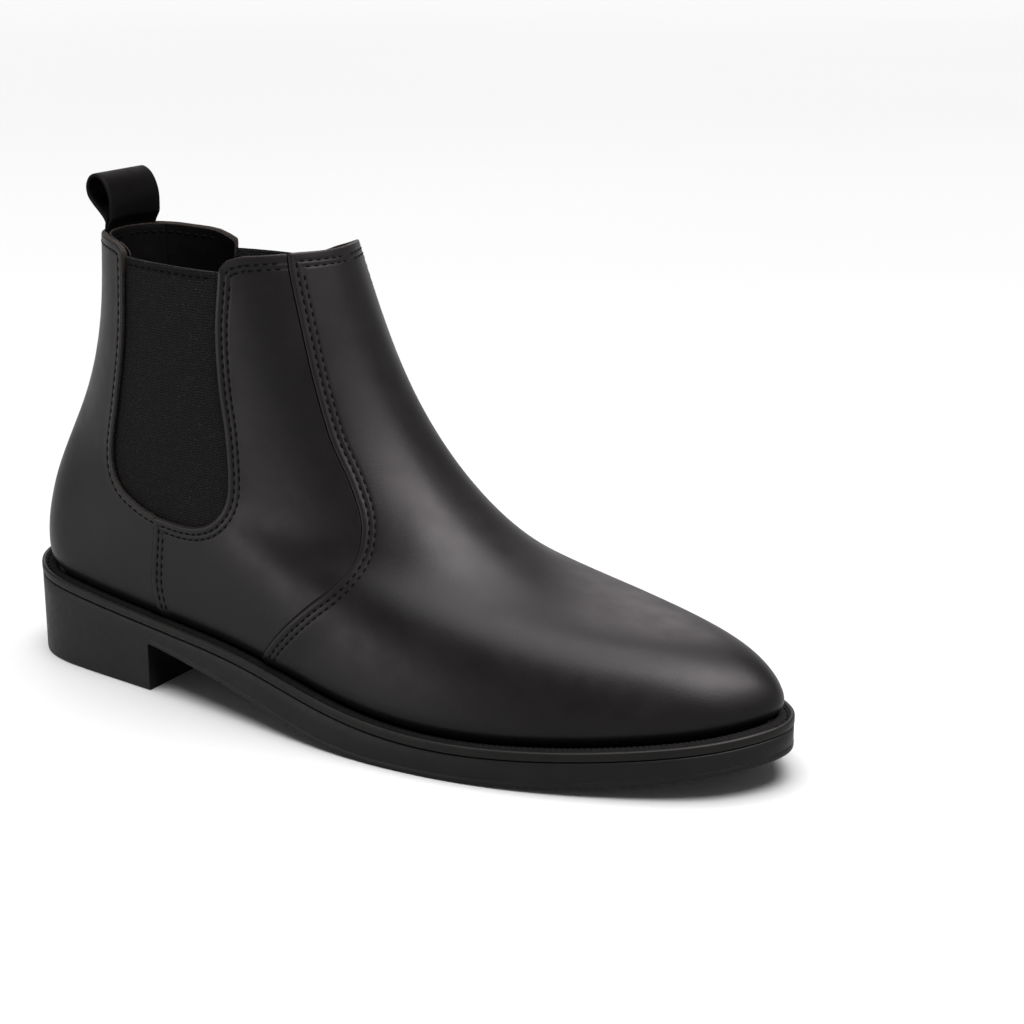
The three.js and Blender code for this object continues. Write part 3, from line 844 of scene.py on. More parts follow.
def rubber(name, dark, pale, rough, grain_mm, depth_mm):
    """Moulded rubber with a fine matt skin and slight mottling; rougher in the welt's groove, where the
    colour is darkened as painted shade.
    """
    n = Nodes(name)
    # Painted shade: from 1.3 to 2 mm in from the welt's outer edge the colour darkens to near black, and
    # stays so further in over the groove and the bead; the same mask raises the roughness.
    groove = n.span(n.attribute("inset_mm"), 1.3, 2.0, 0, 1)
    colour = n.mix(groove, n.mottled(14, dark, pale, 5), (0.0004, 0.0004, 0.0004))
    scuffs = n.noise(3, detail=6, roughness=0.7)
    roughness = n.span(scuffs, 0.3, 0.7, rough - 0.05, rough + 0.07)
    roughness = n.math("ADD", roughness, n.math("MULTIPLY", groove, 0.4))
    skin = n.bump(n.noise(grain_mm, detail=3), depth_mm, 0.5)
    return n.finish(colour, roughness, n.bump(scuffs, 0.08, 0.3, skin), Specular_IOR_Level=0.14)


def fibre_board():
    n = Nodes("fibre_board")
    colour = n.mottled(1.2, (0.2, 0.13, 0.07), (0.36, 0.26, 0.16), 6)
    return n.finish(colour, 0.9, n.bump(n.noise(0.7, detail=5), 0.2, 0.6))


def cork():
    n = Nodes("cork")
    colour = n.ramp(n.cells(2.2), (0.1, (0.16, 0.09, 0.04)), (0.6, (0.42, 0.28, 0.15)))
    return n.finish(colour, 0.95, n.bump(n.cells(1.1), 0.4, 0.7))


def foam():
    n = Nodes("foam")
    colour = n.mottled(3, (0.5, 0.46, 0.38), (0.62, 0.58, 0.5), 4)
    return n.finish(colour, 0.95, n.bump(n.cells(0.8), 0.3, 0.8))


def spring_steel():
    n = Nodes("spring_steel")
    colour = n.mottled(4, (0.3, 0.31, 0.33), (0.5, 0.51, 0.53), 6)
    return n.finish(colour, n.drift(2, 0.25, 0.45, 5), n.bump(n.noise(0.6), 0.02, 0.4), Metallic=1.0)


def pale_floor():
    n = Nodes("pale_floor")
    colour = n.mottled(900, (0.93, 0.93, 0.93), (0.95, 0.95, 0.95), 2)
    return n.finish(colour, 0.12, None, Specular_IOR_Level=0.2)


MATERIALS = {
    "leather": upper_leather(),
    "raw": raw_edge(),
    "flesh": flesh_side(),
    "lining": lining_leather(),
    "elastic": elastic_gore(),
    "thread": thread(),
    "strap": strap_leather(),
    "sole": rubber("sole_rubber", (0.0022, 0.0022, 0.0021), (0.0038, 0.0037, 0.0036), 0.5, 0.9, 0.04),
    "welt": rubber("welt_rubber", (0.0018, 0.0018, 0.0015), (0.0034, 0.0033, 0.0028), 0.5, 0.8, 0.05),
    "board": fibre_board(),
    "cork": cork(),
    "foam": foam(),
    "steel": spring_steel(),
}
LEATHER_SET = [MATERIALS["leather"], MATERIALS["raw"], MATERIALS["flesh"]]
LINING_SET = [MATERIALS["lining"], MATERIALS["raw"], MATERIALS["lining"]]


# ---------- seams on the surface ----------

SEAM_TRIM = 4


def cut_at(tv, side, xz):
    """Splits a curve at the point nearest to a side view point."""
    p = surface(*to_sv(tv, side).T)[:, [0, 2]]
    i = int(((p - np.array(xz, float)) ** 2).sum(1).argmin())
    return tv[: i + 1], tv[i:]


def gore_curve(side):
    return pattern_curve([*GORE_BACK_EDGE[side], *GORE_BOTTOM, *GORE_FRONT_EDGE], 900)


class Seams:
    """Every pattern line of one side of the boot, as (t, v) curves."""

    def __init__(self, side):
        self.side = side
        self.vamp = to_collar(to_sole(traced(VAMP_SEAM, side)), side)
        self.side_seam = to_sole(traced(SIDE_SEAM, side))
        self.lining = to_collar(to_sole(traced(VAMP_LINING_SEAM, side)), side)
        self.grip = to_collar(to_sole(traced([(HEEL_GRIP_X, z) for z in (170, 100, 0)], side)), side)
        gore = gore_curve(side)
        gore = on_side(gore[gore[:, 1] < collar_z(gore[:, 0], side) + 4], side)
        rear, front = cut_at(gore, side, SIDE_SEAM[0])
        self.gore_rear = to_collar(rear[::-1], side)
        self.gore_front = to_collar(front, side)
        # The side seam ends on the gore line.
        self.side_seam = np.vstack([self.side_seam[:-SEAM_TRIM], self.gore_rear[:1]])


lateral, medial = Seams(-1), Seams(1)

# ---------- leather panels ----------

HALF_GAP = 0.08
EDGE_INSET = EDGE_RADIUS + HALF_GAP
VAMP_GIRTH = 260
# How an edge stands up, as (raised, fade, rolled).
VAMP_EDGE = (0.75, 14, 0.22)
SIDE_EDGE = (0.55, 7, 0.1)
GORE_EDGE = (0.25, 6, 0.18)
BACK_EDGE = (0.22, 4)
COLLAR_FOLD = 1.2
FOLD_FLAT = 3
FOLD_FADE = 5
BACK_HALF_X = -80
COLLAR_FRONT_T = 0.995
LOWEST_STITCH_V = 0.004
TOPMOST_STITCH = 1.4


def collar_at(s):
    """v of the finished top edge at each s. Below 0, s runs back along the medial side."""
    on_lateral = (s >= 0) & (s <= 1)
    t = np.where(s < 0, -s, np.where(on_lateral, s, 2 - s))
    return np.where(on_lateral, collar_v(t, -1), collar_v(t, 1))


def spanning_grid(left, right, spread, heights):
    """A grid between two edges that run upwards, with its top on the collar."""
    bottom = left[0] + (right[0] - left[0]) * spread[:, None]
    around = left[-1, 0] + (right[-1, 0] - left[-1, 0]) * spread
    top = np.column_stack([around, collar_at(around)])
    return coons(bottom, top, left, right, spread, heights), top


def vamp_piece():
    """One piece from the lateral seam round the toe to the medial seam."""
    left = moved(lateral.vamp, -1, -EDGE_INSET)
    right = moved(medial.vamp, 1, -EDGE_INSET)
    left[-1, 1] = collar_v(left[-1:, 0], -1)[0]
    right[-1, 1] = collar_v(right[-1:, 0], 1)[0]
    heights = graded(length_of(left, -1), start=False)
    right_rows = to_sv(resample(right, 1, heights), 1)
    grid, top = spanning_grid(resample(left, -1, heights), right_rows, graded(VAMP_GIRTH), heights)
    seams = [Edge(tv, side, *VAMP_EDGE, STITCH_ROWS) for tv, side in ((left, -1), (right, 1))]
    collar = Edge(left, -1, rows=COLLAR_ROWS)
    collar.line = surface(*top.T)
    edges = [*seams, collar]
    panel("vamp_leather", [(grid, False)], edges, LEATHER_SET, "vamp", fold=collar_fold)
    for edge in seams:
        add_rows(edge, edges, STITCH_ROWS, -1)
    for edge in seams:
        front_top = collar_between(edge.tv[-1, 0], COLLAR_FRONT_T, edge.side)
        add_rows(Edge(front_top, edge.side), edges, COLLAR_ROWS, -1)


def collar_fold(points):
    """The top edge is folded over, except behind the pull tab."""
    below = collar_z(points[:, 0], points[:, 1]) - points[:, 2]
    beside_tab = smooth((np.abs(points[:, 1]) - TAB_WIDTH / 2 - 1) / 3)
    beside_tab = np.where(points[:, 0] > BACK_HALF_X, 1, beside_tab)
    return COLLAR_FOLD * (1 - smooth((below - FOLD_FLAT) / FOLD_FADE)) * beside_tab


def around_gore(outer, foot, gore, corner, join_at, side, low_rows=None):
    """Two grids round a corner of the gore: one below it, and one between it and `outer`.

    `foot` runs up from the sole to the gore line, `gore` from there to the collar, and `outer`
    is the far edge of the piece. The first direction of each grid runs from the gore to `outer`.
    """
    under, beside = cut_at(gore, side, corner)
    low_outer, high_outer = cut_at(outer, side, join_at)
    foot, under = foot.copy(), under.copy()
    foot[-1] = under[0] = (foot[-1] + under[0]) / 2
    join = straight(under[-1], low_outer[-1])
    for edge in (beside, high_outer):
        edge[-1, 1] = collar_v(edge[-1:, 0], side)[0]
    collar = collar_between(beside[-1, 0], high_outer[-1, 0], side)
    under_length, join_length = length_of(under, side), length_of(join, side)
    share = under_length / (under_length + join_length)
    us_under, us_join = graded(under_length), graded(join_length)
    us = np.concatenate([us_under * share, share + us_join[1:] * (1 - share)])
    top = np.vstack([resample(under, side, us_under), resample(join, side, us_join)[1:]])
    sole_line = resample(sole_between(foot[0, 0], low_outer[0, 0]), side, us)
    ws_low = graded(length_of(low_outer, side), start=False) if low_rows is None else low_rows
    ws_high = graded(length_of(high_outer, side), start=False)
    low = coons(sole_line, top, resample(foot, side, ws_low), resample(low_outer, side, ws_low), us, ws_low)
    high = coons(
        resample(join, side, us_join), resample(collar, side, us_join),
        resample(beside, side, ws_high), resample(high_outer, side, ws_high), us_join, ws_high,
    )
    return [low, high], collar


def sided(grids, side, towards_toe=True):
    """(t, v) grids as (s, v) grids, each with the flip that makes its quads face out."""
    flip = (side > 0) == towards_toe
    found = []
    for grid in grids:
        s = grid[..., 0] if side < 0 else 2 - grid[..., 0]
        found.append((np.stack([s, grid[..., 1]], -1), flip))
    return found


stitch_rows = []


def add_rows(edge, edges, rows, inward, depth=0.0):
    """Remembers stitch rows. inward: +1 to the heel side of the curve, -1 to the toe side."""
    for row in rows:
        tv = moved(resample(edge.tv, edge.side, np.linspace(0, 1, 400)), edge.side, inward * row)
        p = surface(*to_sv(tv, edge.side).T)
        keep = tv[:, 1] > LOWEST_STITCH_V
        for other in edges:
            if other.rows:
                keep &= distance_to(p, other.line) > 0.97 * row
        keep &= p[:, 2] < collar_z(p[:, 0], edge.side) - TOPMOST_STITCH
        stitch_rows.append((tv[keep], edge.side, edges, depth))


def front_quarter(seams, label):
    side = seams.side
    rear = moved(seams.side_seam, side, -EDGE_INSET)
    gore = moved(seams.gore_front, side, -EDGE_INSET)
    front = moved(seams.vamp, side, EDGE_INSET)
    grids, collar = around_gore(front, rear, gore, GORE_FRONT_CORNER, (9, SEAM_JOIN_Z), side)
    rear_edge = Edge(rear, side, *SIDE_EDGE, STITCH_ROWS)
    gore_edge = Edge(gore, side, *GORE_EDGE, STITCH_ROWS)
    collar_edge = Edge(collar, side, rows=COLLAR_ROWS)
    edges = [rear_edge, gore_edge, collar_edge]
    name = "quarter_leather_" + label
    panel(name, sided(grids, side), edges, LEATHER_SET, "quarter_" + label, fold=collar_fold)
    for edge in edges:
        add_rows(edge, edges, edge.rows, -1)


def back_quarter(seams, label):
    side = seams.side
    gore = moved(seams.gore_rear, side, EDGE_INSET)
    front = moved(seams.side_seam, side, EDGE_INSET)
    heights = np.linspace(LOWEST_V, 1.0, 240)
    centre = np.column_stack([np.zeros_like(heights), heights])
    back = to_collar(moved(centre, side, -EDGE_INSET), side)
    grids, collar = around_gore(back, front, gore, GORE_REAR_CORNER, (-138, REAR_JOIN_Z), side)
    gore_edge = Edge(gore, side, *GORE_EDGE, BACK_ROWS)
    collar_edge = Edge(collar, side, rows=BACK_ROWS)
    back_edge = Edge(back, side, *BACK_EDGE)
    edges = [gore_edge, collar_edge, back_edge]
    name = "back_quarter_leather_" + label
    panel(name, sided(grids, side, False), edges, LEATHER_SET, "back_quarter_" + label, fold=collar_fold)
    add_rows(gore_edge, edges, BACK_ROWS, 1)
    add_rows(collar_edge, edges, BACK_ROWS, 1)


SIDES = ((lateral, "lateral"), (medial, "medial"))

vamp_piece()
for seams, label in SIDES:
    front_quarter(seams, label)
    back_quarter(seams, label)


# ---------- stitches ----------


def tube_faces(steps, around, start=0):
    """Quads and end caps of a tube of rings."""
    index = start + np.arange(steps * around).reshape(steps, around)
    a, b = index[:-1], index[1:]
    quads = np.stack([a, np.roll(a, -1, 1), np.roll(b, -1, 1), b], -1).reshape(-1, 4)
    return quads.tolist() + [index[0][::-1].tolist(), index[-1].tolist()]


def one_stitch(line, out, travelled, centre, length, thickness, sides=6):
    """A short thread along a line that rises out of the leather and dips back in."""
    along = np.linspace(-1, 1, 7)
    at = centre + along * length / 2
    p = at_distances(line, travelled, at)
    n = unit(at_distances(out, travelled, at))
    if np.linalg.norm(p[-1] - p[0]) > length * 1.05:
        return None
    across = unit(np.cross(np.gradient(p, axis=0), n))
    middle = p + n * (thickness * (0.2 - 0.75 * along**4))[:, None]
    radius = (thickness / 2) * np.sqrt(1 - 0.97 * along**6)
    turns = 2 * math.pi * np.arange(sides) / sides
    ring = n[:, None] * (0.8 * np.sin(turns))[:, None] + across[:, None] * np.cos(turns)[:, None]
    return middle[:, None] + ring * radius[:, None, None]


def stitches(name, rows, pitch, length, thickness):
    """One object with every stitch of these rows. A row is (points, outward directions)."""
    points, faces, start = [], [], 0
    for line, out in rows:
        travelled = arc(line)
        count = int(travelled[-1] / pitch)
        for centre in (np.arange(count) + 0.5) * pitch:
            tube = one_stitch(line, out, travelled, centre, length, thickness)
            if tube is None:
                continue
            points.append(tube.reshape(-1, 3))
            faces += [face[::-1] for face in tube_faces(*tube.shape[:2], start)]
            start += len(points[-1])
    add_object(name, np.vstack(points), faces, [MATERIALS["thread"]], "boot")


def on_relief(row):
    tv, side, edges, depth = row
    sv = to_sv(tv, side)
    base, out = surface(*sv.T), normals(*sv.T)
    lift = relief(base, edges)[0]
    return base + out * (lift - depth)[:, None], out


# ---------- lining ----------

LINING_ROW = 2.8
LINING_FRAY = 0.09
HEEL_GRIP_GIRTH = 60


def lining_panel(name, patches, node):
    panel(name, patches, [], LINING_SET, node, depth=LINING_DEPTH, thickness=LINING,
          fray=LINING_FRAY)


def vamp_lining_piece():
    heights = graded(length_of(lateral.lining, -1), False, False)
    left = resample(lateral.lining, -1, heights)
    right = to_sv(resample(medial.lining, 1, heights), 1)
    grid, _ = spanning_grid(left, right, graded(VAMP_GIRTH, False, False), heights)
    lining_panel("vamp_lining_leather", [(grid, False)], "vamp_lining")


def quarter_lining_piece(seams, label):
    side = seams.side
    rows = graded(length_of(seams.side_seam, side), False, False)
    front, _ = around_gore(seams.lining, seams.side_seam, seams.gore_front, GORE_FRONT_CORNER,
                           (-4, SEAM_JOIN_Z), side, rows)
    rear, _ = around_gore(seams.grip, seams.side_seam, seams.gore_rear, GORE_REAR_CORNER,
                          (HEEL_GRIP_X, REAR_JOIN_Z), side, rows)
    patches = sided(front, side) + sided(rear, side, False)
    lining_panel("quarter_lining_leather_" + label, patches, "quarter_lining_" + label)


def heel_grip_piece():
    heights = graded(length_of(lateral.grip, -1), False, False)
    left = to_sv(resample(medial.grip, 1, heights), 1) - (2, 0)
    right = resample(lateral.grip, -1, heights)
    grid, _ = spanning_grid(left, right, graded(HEEL_GRIP_GIRTH, False, False), heights)
    lining_panel("heel_grip_leather", [(grid, False)], "heel_grip")


def lining_row(start, end, side):
    """A stitch row on the inner face, just below the collar."""
    tv = collar_between(start, end, side, 300)
    tv = moved(tv, side, -LINING_ROW)
    sv = to_sv(tv, side)
    out = normals(*sv.T)
    return surface(*sv.T) - out * (LINING_DEPTH + LINING), -out


def add_lining():
    vamp_lining_piece()
    heel_grip_piece()
    rows = []
    for seams, label in SIDES:
        quarter_lining_piece(seams, label)
        rows.append(lining_row(0.01, seams.gore_rear[-1, 0] - 0.03, seams.side))
        rows.append(lining_row(seams.gore_front[-1, 0] + 0.05, 0.99, seams.side))
    stitches("lining_stitches", rows, STITCH_PITCH, STITCH_LENGTH, THREAD)


add_lining()


# ---------- sole unit ----------

HEEL_COLUMNS = 70
FORE_COLUMNS = 190
ACROSS = 24
WALL_INSET = 0.12
WELT_PROFILE = [
    (0.5, -3.15), (0.12, -3.0), (0.0, -2.6), (0.0, -1.4), (0.0, -0.75), (0.1, -0.35), (0.35, -0.1),
    (0.75, 0.0), (1.15, -0.05), (1.45, -0.4), (1.75, -1.0), (2.3, -1.2), (2.85, -1.0), (3.1, -0.65),
    (3.5, -0.35), (4.1, -0.25), (4.8, -0.25), (5.4, -0.4), (5.7, -0.9), (5.7, -3.0), (5.4, -3.15),
]
WELT_KNURL = 1.9
WELT_KNURL_HEIGHT = 0.15
WELT_PITCH = 3.6
WELT_STITCH = 2.9
WELT_THREAD = 0.75
WELT_GROOVE = (2.3, -1.03)
WELT_BEAD = (3, 5.5)
WELT_BEAD_FOOT = -0.85


def outline_sides():
    """Outline points and inward directions of both sides, with one point at the heel breast."""
    ring = plan_outline(3000)
    inwards = inset_curve(ring, 1.0) - ring
    toe = ring[:, 0].argmax()
    lateral_order = np.arange(toe + 1)
    medial_order = np.concatenate([[0], np.arange(len(ring) - 1, toe - 1, -1)])
    sides = []
    for order in (lateral_order, medial_order):
        line = ring[order]
        along = arc(line)
        breast = np.interp(HEEL_BREAST_X, line[:, 0], along)
        heel = np.linspace(0, breast, HEEL_COLUMNS + 1)
        fore = np.linspace(breast, along[-1], FORE_COLUMNS + 1)
        at = np.concatenate([heel, fore[1:]])
        columns = at_distances(line, along, at)
        inward = at_distances(inwards[order], along, at)
        inward[0], inward[-1] = (1, 0), (-1, 0)
        if sides:
            columns[[0, -1]] = sides[0][0][[0, -1]]
        sides.append((columns, inward))
    return sides


OUTLINE = outline_sides()


def wall(first, last, rows):
    """Wall rings of both sides. rows gives, for each x, a list of (z, inset)."""
    sides = []
    for columns, inward in OUTLINE:
        columns, inward = columns[first : last + 1], inward[first : last + 1]
        rings = []
        for z, inset in rows(columns[:, 0]):
            plan = columns + inward * np.asarray(inset)[..., None]
            rings.append(np.column_stack([plan, z]))
        sides.append(np.stack(rings, 1))
    return sides


def across_grid(a, b):
    share = np.linspace(0, 1, ACROSS + 1)[None, :, None]
    return a[:, None] + (b[:, None] - a[:, None]) * share


def joined(name, grids, material, node, inset=None):
    """Welds grids of points into one closed body with its faces out."""
    points, faces, start = [], [], 0
    for grid in grids:
        rows, columns = grid.shape[:2]
        points.append(grid.reshape(-1, 3))
        faces.append(grid_quads(rows, columns) + start)
        start += rows * columns
    points, faces = np.vstack(points), np.vstack(faces)
    _, first, inverse = np.unique(np.round(points, 4), axis=0, return_index=True, return_inverse=True)
    faces = inverse.ravel()[faces]
    clean = []
    for face in faces.tolist():
        corners = [c for i, c in enumerate(face) if c != face[i - 1]]
        if len(set(corners)) > 2:
            clean.append(corners)
    attributes = {} if inset is None else {"inset_mm": inset.ravel()[first]}
    obj = add_object(name, points[first], clean, [material], "boot", attributes=attributes)
    shape = bmesh.new()
    shape.from_mesh(obj.data)
    bmesh.ops.recalc_face_normals(shape, faces=shape.faces)
    shape.to_mesh(obj.data)
    shape.free()
    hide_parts(node)
    return obj


def upper_wall_rows(x):
    """From the seat down to the tread, or to the shelf of the heel block."""
    fore = smooth((x - HEEL_BREAST_X) / 5)
    tread = np.maximum(tread_line(np.maximum(x, HEEL_BREAST_X)), 0)
    foot = np.where(x <= HEEL_BREAST_X, HEEL_SHELF_Z, tread)
    top = seat(x)
    lip = foot + np.minimum(2.3, (top - foot) * 0.35)
    flat = np.full_like(x, WALL_INSET)
    rows = [
        (top, flat + 0.45), (top - 0.12, flat + 0.16), (top - 0.4, flat),
        (lip + (top - lip) * 0.5, flat), (lip + 0.35, flat),
    ]
    shaped = [
        (lip + 0.12, 0.2), (lip - 0.12, 0.12), (lip - 0.3, 0.0), (foot + 0.9, 0.0),
        (foot + 0.45, 0.08), (foot + 0.15, 0.3), (foot, 0.75),
    ]
    return rows + [(z, WALL_INSET + (inset - WALL_INSET) * fore) for z, inset in shaped]


def block_grids(levels, capped=False):
    """Wall, breast face and, for a piece of its own, caps of the heel part."""
    def rows(x):
        return [(np.full_like(x, z), np.full_like(x, inset)) for z, inset in levels]

    left, right = wall(0, HEEL_COLUMNS, rows)
    grids = [left, right, across_grid(left[-1], right[-1]), across_grid(left[:, -1], right[:, -1])]
    if capped:
        grids.append(across_grid(left[:, 0], right[:, 0]))
    return grids


def add_sole():
    last = HEEL_COLUMNS + FORE_COLUMNS
    left, right = wall(0, last, upper_wall_rows)
    grids = [left, right, across_grid(left[:, 0], right[:, 0])]
    grids.append(across_grid(left[HEEL_COLUMNS:, -1], right[HEEL_COLUMNS:, -1]))
    block = [(z, WALL_INSET) for z in (HEEL_SHELF_Z, 15, 12, 9, 7, TOP_PIECE)]
    grids += block_grids(block)
    sharpen(joined("outsole_unit", grids, MATERIALS["sole"], "outsole"))
    proud = WALL_INSET - 0.01
    lift = [
        (TOP_PIECE + 0.45, 0.3), (TOP_PIECE + 0.36, proud), (3, proud), (0.8, proud),
        (0.3, 0.2), (0.1, 0.4), (0, 0.7),
    ]
    grids = block_grids(lift, capped=True)
    sharpen(joined("heel_lift", grids, MATERIALS["sole"], "heel_top_piece"))


def sharpen(obj):
    """Small rounded corners where faces meet at a steep angle."""
    bevel = obj.modifiers.new("corners", "BEVEL")
    bevel.width = 0.35 * MM
    bevel.segments = 2
    bevel.limit_method = "ANGLE"
    bevel.angle_limit = math.radians(50)
    bevel.harden_normals = True


def add_welt():
    ring = plan_outline(1500)
    inward = inset_curve(ring, 1.0) - ring
    closed = np.vstack([ring, ring[:1]])
    along = arc(closed)[:-1]
    knurl = WELT_KNURL_HEIGHT * np.cos(2 * math.pi * along / WELT_KNURL)
    rings = []
    for inset, height in WELT_PROFILE:
        on_bead = WELT_BEAD[0] < inset < WELT_BEAD[1] and height > WELT_BEAD_FOOT
        bead = knurl if on_bead else 0
        plan = ring + inward * inset
        rings.append(np.column_stack([plan, welt_top(ring[:, 0]) + height + bead]))
    grid = np.stack(rings + [rings[0]], 1)
    grid = np.concatenate([grid, grid[:1]])
    insets = [inset for inset, _ in WELT_PROFILE + WELT_PROFILE[:1]]
    inset = np.broadcast_to(insets, grid.shape[:2])
    joined("welt_band", [grid], MATERIALS["welt"], "welt", inset)
    groove_inset, groove_height = WELT_GROOVE
    groove = ring + inward * groove_inset
    line = np.column_stack([groove, welt_top(ring[:, 0]) + groove_height])
    line = np.vstack([line, line[:1]])
    up = np.broadcast_to([0.0, 0.0, 1.0], line.shape)
    stitches("welt_stitches", [(line, up)], WELT_PITCH, WELT_STITCH, WELT_THREAD)


def add_sock():
    ring = inset_curve(plan_outline(1200), SOCK_INSET)
    stations = (1 - np.cos(np.linspace(0, math.pi, 130))) / 2
    low, high = ring[:, 0].min(), ring[:, 0].max()
    x = low + (high - low) * stations
    start, end = ring[:, 0].argmin(), ring[:, 0].argmax()
    turned = np.roll(ring, -start, 0)
    split = (end - start) % len(ring)
    out, inn = turned[: split + 1], np.vstack([turned[split:], turned[:1]])[::-1]
    y_out = np.interp(x, out[:, 0], out[:, 1])
    y_in = np.interp(x, inn[:, 0], inn[:, 1])
    y_out[0] = y_in[0] = (y_out[0] + y_in[0]) / 2
    y_out[-1] = y_in[-1] = (y_out[-1] + y_in[-1]) / 2
    faces = []
    for height in SOCK_HEIGHT:
        a = np.column_stack([x, y_out, seat(x) + height])
        b = np.column_stack([x, y_in, seat(x) + height])
        faces.append((a, b))
    (a0, b0), (a1, b1) = faces
    grids = [across_grid(a1, b1), across_grid(a0, b0), np.stack([a0, a1], 1), np.stack([b0, b1], 1)]
    joined("sock_leather", grids, MATERIALS["lining"], "sock")


add_sole()
add_welt()
add_sock()


# ---------- pull tab ----------

TAB_RIM_Z = 160.8
TAB_BENT_Z = 166.0
TAB_CUPPED_Z = 182.0
TAB_PLY = (1.68, 2.32)
TAB_TAIL_TOP = 164.5
TAB_LOOP_FOOT = 164.6
TAIL_STEPS = 20
TAIL_SHIFT = 0.3
SKIVED = 0.42
CENTRE_Y = 0.02


def back_x(y, z, depth):
    """x of a layer at the back of the boot."""
    side = -1 if y[0] <= 0 else 1
    tv = on_side(np.column_stack([y, z]), side, (1, 2), 0.35)
    sv = to_sv(tv, side)
    return layer(sv, depth)[:, 0]


def tab_path():
    """The strap's middle line up the rear tail, round the loop and down, and its ply (0 rear, 1 front)."""
    outer = pattern_curve(TAB_LOOP, 160)
    along = unit(np.gradient(outer, axis=0))
    centre = outer - np.column_stack([-along[:, 1], along[:, 0]]) * TAB_STRAP / 2
    loop = centre[(centre[:, 1] > TAB_LOOP_FOOT) & (outer[:, 1] > TAB_LOOP_FOOT)]
    tails = np.linspace(TAB_TAIL_Z, TAB_TAIL_TOP, TAIL_STEPS)
    rear = np.column_stack([np.full(TAIL_STEPS, loop[0, 0] + TAIL_SHIFT), tails])
    front = np.column_stack([np.full(TAIL_STEPS, loop[-1, 0]), tails])[::-1]
    ply = np.concatenate([np.zeros(TAIL_STEPS), np.linspace(0, 1, len(loop)), np.ones(TAIL_STEPS)])
    return np.vstack([rear, loop, front]), ply


def tab_section():
    """The strap's cross section with round sides, as (across, out)."""
    half, reach = TAB_STRAP / 2, TAB_WIDTH / 2 - TAB_STRAP / 2
    flat = np.linspace(-reach, reach, 22)
    corner = np.radians(np.arange(67.5, -90, -22.5))
    section = [(q, half) for q in flat]
    section += [(reach + half * math.cos(a), half * math.sin(a)) for a in corner]
    section += [(q, -half) for q in flat[::-1]]
    section += [(-reach - half * math.cos(a), -half * math.sin(a)) for a in corner]
    return section


def add_pull_tab():
    """The strap follows the heel's curve in the boot, and straightens above the collar."""
    path, ply = tab_path()
    tangent = unit(np.gradient(path, axis=0))
    normal = np.column_stack([-tangent[:, 1], tangent[:, 0]])
    width = TAB_WIDTH / 2
    z = path[:, 1]
    skive = SKIVED + (1 - SKIVED) * smooth((z - TAB_RIM_Z) / 5)
    bend = 1 - smooth((z - TAB_RIM_Z) / (TAB_BENT_Z - TAB_RIM_Z))
    cup = 1 - smooth((z - TAB_RIM_Z) / (TAB_CUPPED_Z - TAB_RIM_Z))
    depth = TAB_PLY[0] + (TAB_PLY[1] - TAB_PLY[0]) * ply
    rest_x = np.where(ply < 0.5, path[0, 0], path[-1, 0])
    under_rim = np.minimum(z, TAB_RIM_Z)
    rim_x = back_x(np.full(len(path), width), under_rim, depth)
    rings, edge_mm = [], []
    for q, d in tab_section():
        y = np.full(len(path), q if abs(q) > CENTRE_Y else CENTRE_Y)
        shift = bend * (rim_x - rest_x) + cup * (back_x(y, under_rim, depth) - rim_x)
        x = path[:, 0] + normal[:, 0] * d * skive + shift
        rings.append(np.column_stack([x, np.full(len(path), q), z + normal[:, 1] * d * skive]))
        edge_mm.append(np.full(len(path), width - abs(q)))
    points = np.stack(rings, 1)
    faces = tube_faces(*points.shape[:2])
    attributes = {"edge_mm": np.stack(edge_mm, 1).ravel()}
    obj = add_object("pull_tab_strap", points.reshape(-1, 3), faces, [MATERIALS["strap"]], None,
                     attributes=attributes)
    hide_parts("pull_tab_loop", "pull_tab_tails")
    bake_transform(obj)


add_pull_tab()


# ---------- elastic gores ----------

GORE_FOOT_Z = 59.0
GORE_LAP = 5.0
GORE_STRAIGHT_Z = {"rear": 84, "front": 80}
HEM_SHAPE = (0.3, 2.6, 0.15)
HEM_HIDDEN = 5


def gore_piece(seams, label):
    """A sheet that runs behind the leather all round the opening, with a stitched hem on top."""
    side = seams.side
    line = gore_curve(side)
    bottom = int(line[:, 1].argmin())
    back, front = line[:bottom][::-1], line[bottom:]
    top = np.array(GORE_TOP[side], float)
    rise = np.linspace(0, 1, 90)
    rear_z = GORE_FOOT_Z + (np.interp(back[-1, 0], *top.T) - GORE_FOOT_Z) * rise
    front_z = GORE_FOOT_Z + (np.interp(front[-1, 0], *top.T) - GORE_FOOT_Z) * rise
    rear_x = np.interp(rear_z, back[:, 1], back[:, 0])
    rear_x = np.where(rear_z < GORE_STRAIGHT_Z["rear"], GORE_BACK_EDGE[side][4][0], rear_x)
    front_x = np.interp(front_z, front[:, 1], front[:, 0])
    front_x = np.where(front_z < GORE_STRAIGHT_Z["front"], GORE_FRONT_EDGE[2][0], front_x)
    columns = np.linspace(0, 1, 44)[:, None]
    x = (rear_x - GORE_LAP) * (1 - columns) + (front_x + GORE_LAP) * columns
    z = rear_z * (1 - columns) + front_z * columns
    tv = on_side(np.column_stack([x.ravel(), z.ravel()]), side)
    grid = tv.reshape(*x.shape, 2)
    hem = Edge(grid[:, -1], side, *HEM_SHAPE, (HEM_ROW,))
    materials = [MATERIALS["elastic"]] * 3
    panel("gore_elastic_" + label, sided([grid], side), [hem], materials, "gore_" + label,
          depth=ELASTIC_DEPTH, thickness=ELASTIC)
    seen = Edge(grid[HEM_HIDDEN:-HEM_HIDDEN, -1], side, *HEM_SHAPE, (HEM_ROW,))
    add_rows(seen, [hem], (HEM_ROW,), -1, ELASTIC_DEPTH)


for seams, label in SIDES:
    gore_piece(seams, label)

upper_rows = [on_relief(row) for row in stitch_rows if len(row[0]) > 3]
stitches("upper_stitches", upper_rows, STITCH_PITCH, STITCH_LENGTH, THREAD)

